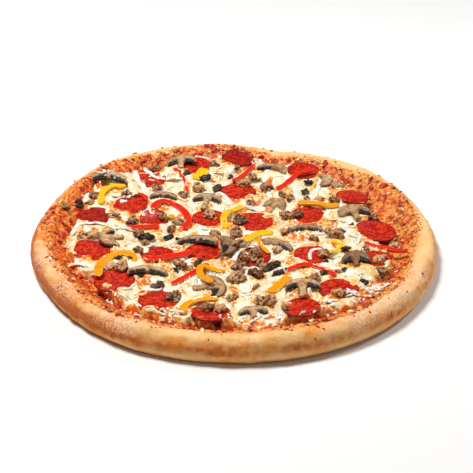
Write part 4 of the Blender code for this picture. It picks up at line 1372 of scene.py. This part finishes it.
@dataclass
class Strips:
    """Strips of one kind of vegetable, swept along their paths by Geometry Nodes."""

    kind: str
    slot: str
    finish: Finish
    thickness: float = 2.7 * MM
    arch: float = 1.3 * MM
    sides: int = 28
    step: float = 1.1 * MM
    uneven: float = 1.3 * MM
    uneven_length: float = 7 * MM

    def swept(self, name: str, rows: list[tuple[list[Vector], list[float], float]],
              width: float) -> bpy.types.Object:
        """Sweep strips along curves that draw in at both ends.

        Args:
            name: the piece's name.
            rows: each strip's places, the heights of its middle and its share of the full width.
            width: the full width in metres.

        Returns:
            The strips as one plain mesh.
        """
        curve = bpy.data.curves.new(self.kind, "CURVE")
        curve.dimensions = "3D"
        for path, heights, part in rows:
            spline = curve.splines.new("POLY")
            last = len(path) - 1
            spline.points.add(last)
            blunt = min(0.5 * width * part / self.step, 0.45 * last)
            for index, point in enumerate(spline.points):
                point.co = (*path[index], heights[index], 1)
                share = min(min(index, last - index) / blunt, 1.0)
                point.radius = part * (0.3 + 0.7 * math.sqrt(1 - (1 - share) ** 2))
        values = {"Width": width, "Thickness": self.thickness, "Arch": self.arch, "Sides": self.sides,
                  "Unevenness": self.uneven, "Unevenness length": self.uneven_length}
        return grown(name, linked(self.kind, curve), strip_tree(), values, self.finish)

    def smoothed(self, heights: list[float], times: int) -> list[float]:
        """Heights that a soft strip takes over them, never lower than they are by much."""
        for _ in range(times):
            inner = [max((a + b + c) / 3, b - 0.25 * MM)
                     for a, b, c in zip(heights, heights[1:], heights[2:])]
            heights = [heights[0], *inner, heights[-1]]
        return heights

    def on_solid(self, node: str, path: list[Vector]) -> list[float]:
        """Heights of a strip's middle where its solid lies."""
        solid = Solid(node)
        found = [solid.underside(*place) for place in path]
        last = next(value for value in found if value is not None)
        heights = []
        for value in found:
            last = last if value is None else value
            heights.append(last + self.thickness / 2 + 0.3 * self.arch)
        return self.smoothed(heights, 3)

    def build(self, pile: Pile, rows: tuple, other: Finish | None = None,
              others: tuple[int, ...] = ()) -> None:
        """Every strip that is a solid of its own.

        Args:
            pile: what it is laid on.
            rows: the strips' points and widths in millimetres.
            other: a second finish.
            others: numbers of the strips that wear it.
        """
        for number, (points, width) in enumerate(rows, 1):
            node = f"{self.kind}_{number:02d}"
            path = smooth_path(points, self.step)
            strips = replace(self, finish=other) if number in others else self
            laid = [(path, self.on_solid(node, path), 1.0)]
            obj = strips.swept(f"{self.kind}_strip_{number:02d}", laid, width * MM)
            pile.lay(obj, "strip", self.slot, node)

    def build_draped(self, name: str, pile: Pile, rows: tuple, sink: float = 0.0) -> None:
        """Strips with no solid of their own, laid over the pile as one piece."""
        widest = max(width for _, width in rows)
        laid = []
        for points, width in rows:
            path = smooth_path(points, self.step)
            heights = [pile.reach(*place, 0.25 * width * MM) + 0.3 * self.thickness - sink for place in path]
            laid.append((path, self.smoothed(heights, 5), width / widest))
        pile.lay(self.swept(name, laid, widest * MM), "strip", self.slot)


@dataclass
class Scatter:
    """Small pieces of one kind set on the pile, grown from points by a Geometry Nodes tree."""

    name: str
    slot: str
    finish: Finish
    sink: float = 0.2
    squash: tuple[float, float] = (0.5, 0.72)
    stretch: tuple[float, float] = (0.75, 1.1)
    slim: tuple[float, float] = (0.75, 1.05)
    tilt: float = 0.35
    settle: bool = False

    def settled(self, pile: Pile, x: float, y: float, width: float) -> tuple[float, float]:
        """Roll a lump off higher neighbours of another kind, as it would have come to rest."""
        for _ in range(4):
            height, kind = pile.top(x, y)
            push = Vector((0, 0))
            for turn in turns(8):
                way = Vector(polar(1, turn))
                beside, other = pile.top(x + way.x * 0.4 * width, y + way.y * 0.4 * width)
                if other != kind and beside > height + 0.8 * MM:
                    push -= way
            if push.length < 0.5:
                break
            x, y = x + push.normalized().x * 0.9 * MM, y + push.normalized().y * 0.9 * MM
        return x, y

    def build(self, pile: Pile, rows: list[tuple[float, float, float, float]], tree: bpy.types.NodeTree,
              values: dict) -> None:
        """Set the pieces on the pile as one mesh.

        Args:
            pile: what they are set on.
            rows: x, y and width in millimetres, and tone.
            tree: what grows them from points with a size, a turn and a tone each.
            values: its inputs by name.
        """
        draw = random.Random(SEED)
        places, sizes, tilts = [], [], []
        for x, y, width, _ in rows:
            x, y, width = x * MM, y * MM, width * MM
            if self.settle:
                x, y = self.settled(pile, x, y, width)
            size = [width * draw.uniform(*span) for span in (self.stretch, self.slim, self.squash)]
            around_it = [pile.top(*polar(0.3 * width, turn, x, y))[0] for turn in turns(3)]
            places.append((x, y, (pile.top(x, y)[0] + sum(around_it)) / 4 + size[2] * (0.5 - self.sink)))
            sizes.append(size)
            lean = [draw.uniform(-self.tilt, self.tilt) for _ in range(2)]
            tilts.append(lean + [draw.uniform(0, math.tau)])
        masks = {"tone": [row[3] for row in rows], "size": sizes, "turn": tilts}
        points = new_object(self.name + "_places", places, [], None, masks)
        handed_over(grown(self.name, points, tree, values, self.finish), self.slot)


def sausage_rows() -> list[tuple[float, float, float, float]]:
    """The sausage crumbs' places and widths in millimetres, and how dark each is."""
    draw = random.Random(SEED + 1)
    rows = []
    for x, y, width in CRUMBS:
        tone = draw.uniform(-0.08, 0.12) + 0.28 * ((x, y) in DARK_CRUMBS) - 0.16 * ((x, y) in PALE_CRUMBS)
        turn = draw.uniform(0, math.tau)
        rows.append((x, y, 0.93 * width, tone))
        if width > 9:
            rows.append((*polar(0.32 * width, turn, x, y), 0.6 * width, tone))
    return rows


def shred_rows() -> list[tuple[float, float, float, float]]:
    """Places and lengths of the loose shreds of cheese, in millimetres."""
    draw = random.Random(SEED + 2)
    rows = []
    for x, y, reach, count in SHRED_PLACES:
        for _ in range(count):
            turn, away = draw.uniform(0, math.tau), reach * math.sqrt(draw.random())
            rows.append((*polar(away, turn, x, y), draw.uniform(3.5, 7.0), 0.0))
    return rows


def string_rows(pile: Pile) -> tuple:
    """Bent strings of half-melted cheese between the toppings: their points and widths in millimetres."""
    draw = random.Random(SEED + 4)
    rows = []
    for _ in range(CHEESE_STRINGS):
        bearing, away = draw.uniform(0, math.tau), 0.97 * math.sqrt(draw.random())
        x, y = polar(away * around(CHEESE_EDGE, bearing), bearing)
        heading = draw.uniform(0, math.tau)
        points = []
        for _ in range(draw.randint(3, 5)):
            points.append((x, y))
            heading += draw.uniform(-0.7, 0.7)
            x, y = polar(4.5, heading, x, y)
        width = draw.uniform(1.2, 2.4)
        if all(pile.top(x * MM, y * MM)[1] == "cheese" for x, y in points):
            rows.append((tuple(points), width))
    return tuple(rows)


def lumpy(fineness: int, length: float, height: float, ragged: float, ragged_length: float) -> dict:
    """The inputs of the tree of lumps, from lengths in millimetres."""
    return {"Fineness": fineness, "Nodule length": length * MM, "Nodule height": height * MM,
            "Raggedness": ragged * MM, "Raggedness length": ragged_length * MM}


def scattered(name: str, slot: str, base: bpy.types.Object, finish: Finish, smallest: float, largest: float,
              **values: float) -> None:
    """Scatter bits over a piece where its fleck mask is high.

    Args:
        name: the new piece's name.
        slot: its material slot.
        base: the piece that it lies on.
        finish: what it is dressed in.
        smallest: width of the smallest bits, in millimetres.
        largest: width of the largest, in millimetres.
        **values: the tree's other inputs.
    """
    values.update(Smallest=smallest * MM, Largest=largest * MM)
    surface = linked("surface", base.data.copy())
    handed_over(grown(name, surface, fleck_tree(), values, finish), slot)


@dataclass
class Studio:
    """A pale floor, soft lights and the camera at the photograph's viewing angle."""

    camera_place: tuple[float, float, float] = (0.0024, -0.9478, 0.5583)
    camera_tilt: float = 60.06
    lens: float = 94.3
    sensor: float = 36
    floor_half: float = 3.0
    paper: tuple = srgb(246, 245, 243)
    sky: float = 0.08
    # Each light's place, size in metres and watts
    lights: tuple = (("key", (-0.5, 0.2, 1.45), 0.5, 25.0), ("fill", (0.9, -1.1, 1.2), 1.2, 2.0),
                     ("rim", (1.1, 0.5, 1.0), 0.25, 7.0))

    def light(self, name: str, place: tuple[float, float, float], size: float, watts: float) -> None:
        """A square soft light that faces the middle of the pizza."""
        data = bpy.data.lights.new(name, "AREA")
        data.shape = "SQUARE"
        data.size, data.energy = size, watts
        obj = linked(name, data)
        obj.location = place
        obj.rotation_euler = (-Vector(place)).to_track_quat("-Z", "Y").to_euler()

    def build(self) -> None:
        """Set up the floor, the lights and the camera."""
        scene, half = bpy.context.scene, self.floor_half
        corners = [(-half, -half, 0), (half, -half, 0), (half, half, 0), (-half, half, 0)]
        floor = new_object("studio_floor", corners, [(0, 1, 2, 3)])
        paper = bpy.data.materials.new("paper")
        paper.use_nodes = True
        shader = paper.node_tree.nodes["Principled BSDF"]
        Wiring(paper.node_tree).fit(shader, {"Base Color": self.paper, "Roughness": 0.9})
        floor.data.materials.append(paper)
        scene.world = bpy.data.worlds.new("soft_sky")
        scene.world.use_nodes = True
        tree = scene.world.node_tree
        Wiring(tree).fit(tree.nodes["Background"], {0: (1, 1, 1, 1), 1: self.sky})
        scene.view_settings.view_transform = "Standard"
        for row in self.lights:
            self.light(*row)
        data = bpy.data.cameras.new("camera")
        data.lens, data.sensor_width = self.lens, self.sensor
        scene.camera = linked("camera", data)
        scene.camera.location = self.camera_place
        scene.camera.rotation_euler = (math.radians(self.camera_tilt), 0, 0)


def main() -> None:
    """Build the pizza from the dough up, and the studio round it."""
    logging.basicConfig(level=logging.INFO, format="%(name)s %(relativeCreated)d ms: %(message)s")
    Studio().build()
    pile, toppings = Pile(), Pile()
    crust = pile.lay(Crust().build(), "crust", "crust", "crust")
    ring = pile.lay(Sauce().build(pile), "sauce", "sauce", "sauce")

    PepperoniSlices().build(toppings)
    MushroomSlices().build(toppings)
    red = pepper("roasted_red", srgb(236, 28, 6), srgb(252, 84, 30), srgb(160, 16, 6))
    yellow = pepper("roasted_yellow", srgb(255, 196, 0), srgb(255, 222, 70), srgb(240, 146, 4))
    orange = pepper("roasted_orange", srgb(255, 158, 0), srgb(255, 196, 44), srgb(232, 108, 4))
    Strips("red_pepper", "red_pepper", red).build(toppings, RED_PEPPERS)
    Strips("yellow_pepper", "yellow_pepper", yellow).build(toppings, YELLOW_PEPPERS, orange, ORANGE_STRIPS)

    sheet = Cheese(toppings=toppings.tree(*toppings.parts))
    pile.lay(sheet.build(pile), "cheese", "cheese", "cheese")
    pile.parts.update(toppings.parts)
    PepperoniSlices().build_sunk(pile)

    Strips("onion", "onion", onion("soft_onion"), 1.7 * MM, 0.5 * MM, 14, uneven=2.0 * MM).build_draped(
        "onion_strips", pile, ONIONS, 0.6 * MM)
    Strips("thin_red", "red_pepper", red, 2.4 * MM).build_draped("thin_red_strips", pile, THIN_RED_PEPPERS)
    Strips("thin_yellow", "yellow_pepper", orange, 2.4 * MM).build_draped(
        "thin_orange_strips", pile, THIN_YELLOW_PEPPERS)
    Strips("cheese_string", "cheese", sheet.finish, 1.5 * MM, 0.2 * MM, 10, uneven=1.6 * MM,
           uneven_length=3 * MM).build_draped("cheese_strings", pile, string_rows(pile), 0.6 * MM)

    Scatter("sausage_crumbs", "sausage", sausage(), settle=True).build(
        pile, sausage_rows(), lump_tree(), lumpy(4, 2.2, 2.0, 7, 6))
    draw = random.Random(SEED + 3)
    # Dark scraps, partly standing in as painted shade between the toppings
    Scatter("dark_scraps_and_shade", "mushroom", scraps_and_shade(), 0.15, (0.25, 0.4), slim=(0.5, 0.8)).build(
        pile, [(*row, draw.uniform(0.0, 0.35)) for row in SCRAPS_AND_SHADE], lump_tree(), lumpy(4, 2.6, 0.9, 7, 4.5))
    Scatter("rim_flecks", "sauce", flecks(), squash=(0.2, 0.35), tilt=0.1).build(
        pile, [(*row, 0.0) for row in RIM_FLECKS], lump_tree(), lumpy(3, 2, 0.8, 1.6, 2))
    Scatter("cheese_shreds", "cheese", onion("shredded_cheese", 0.35, 0.3), squash=(0.2, 0.32),
            slim=(0.25, 0.45)).build(
        pile, shred_rows(), shred_tree(), {"Bend": 4 * MM, "Bend length": 6 * MM})

    scattered("sauce_flecks", "sauce", ring, flecks(), 1.0, 3.2, Fineness=1)
    clot_look = sauce("sauce_clots_look", srgb(194, 50, 16), srgb(226, 92, 26))
    scattered("sauce_clots", "sauce", ring, clot_look, 3.2, 7.0, Spacing=6.2 * MM, Density=24000.0,
              Fineness=3, Seed=SEED + 9)
    splash_look = sauce("splashed_sauce", srgb(206, 60, 18), srgb(226, 92, 26))
    scattered("sauce_splashes", "sauce", crust, splash_look, 1.0, 3.0, Spacing=1.8 * MM, Density=120000.0,
              Fineness=1, Seed=SEED + 30)
    bit_look = cheese("toasted_cheese_bits", srgb(248, 214, 146), srgb(246, 190, 104))
    scattered("cheese_bits", "cheese", ring, bit_look, 1.6, 4.6, Spacing=6.5 * MM, Density=16000.0,
              Seed=SEED + 20)


if __name__ == "__main__":
    main()
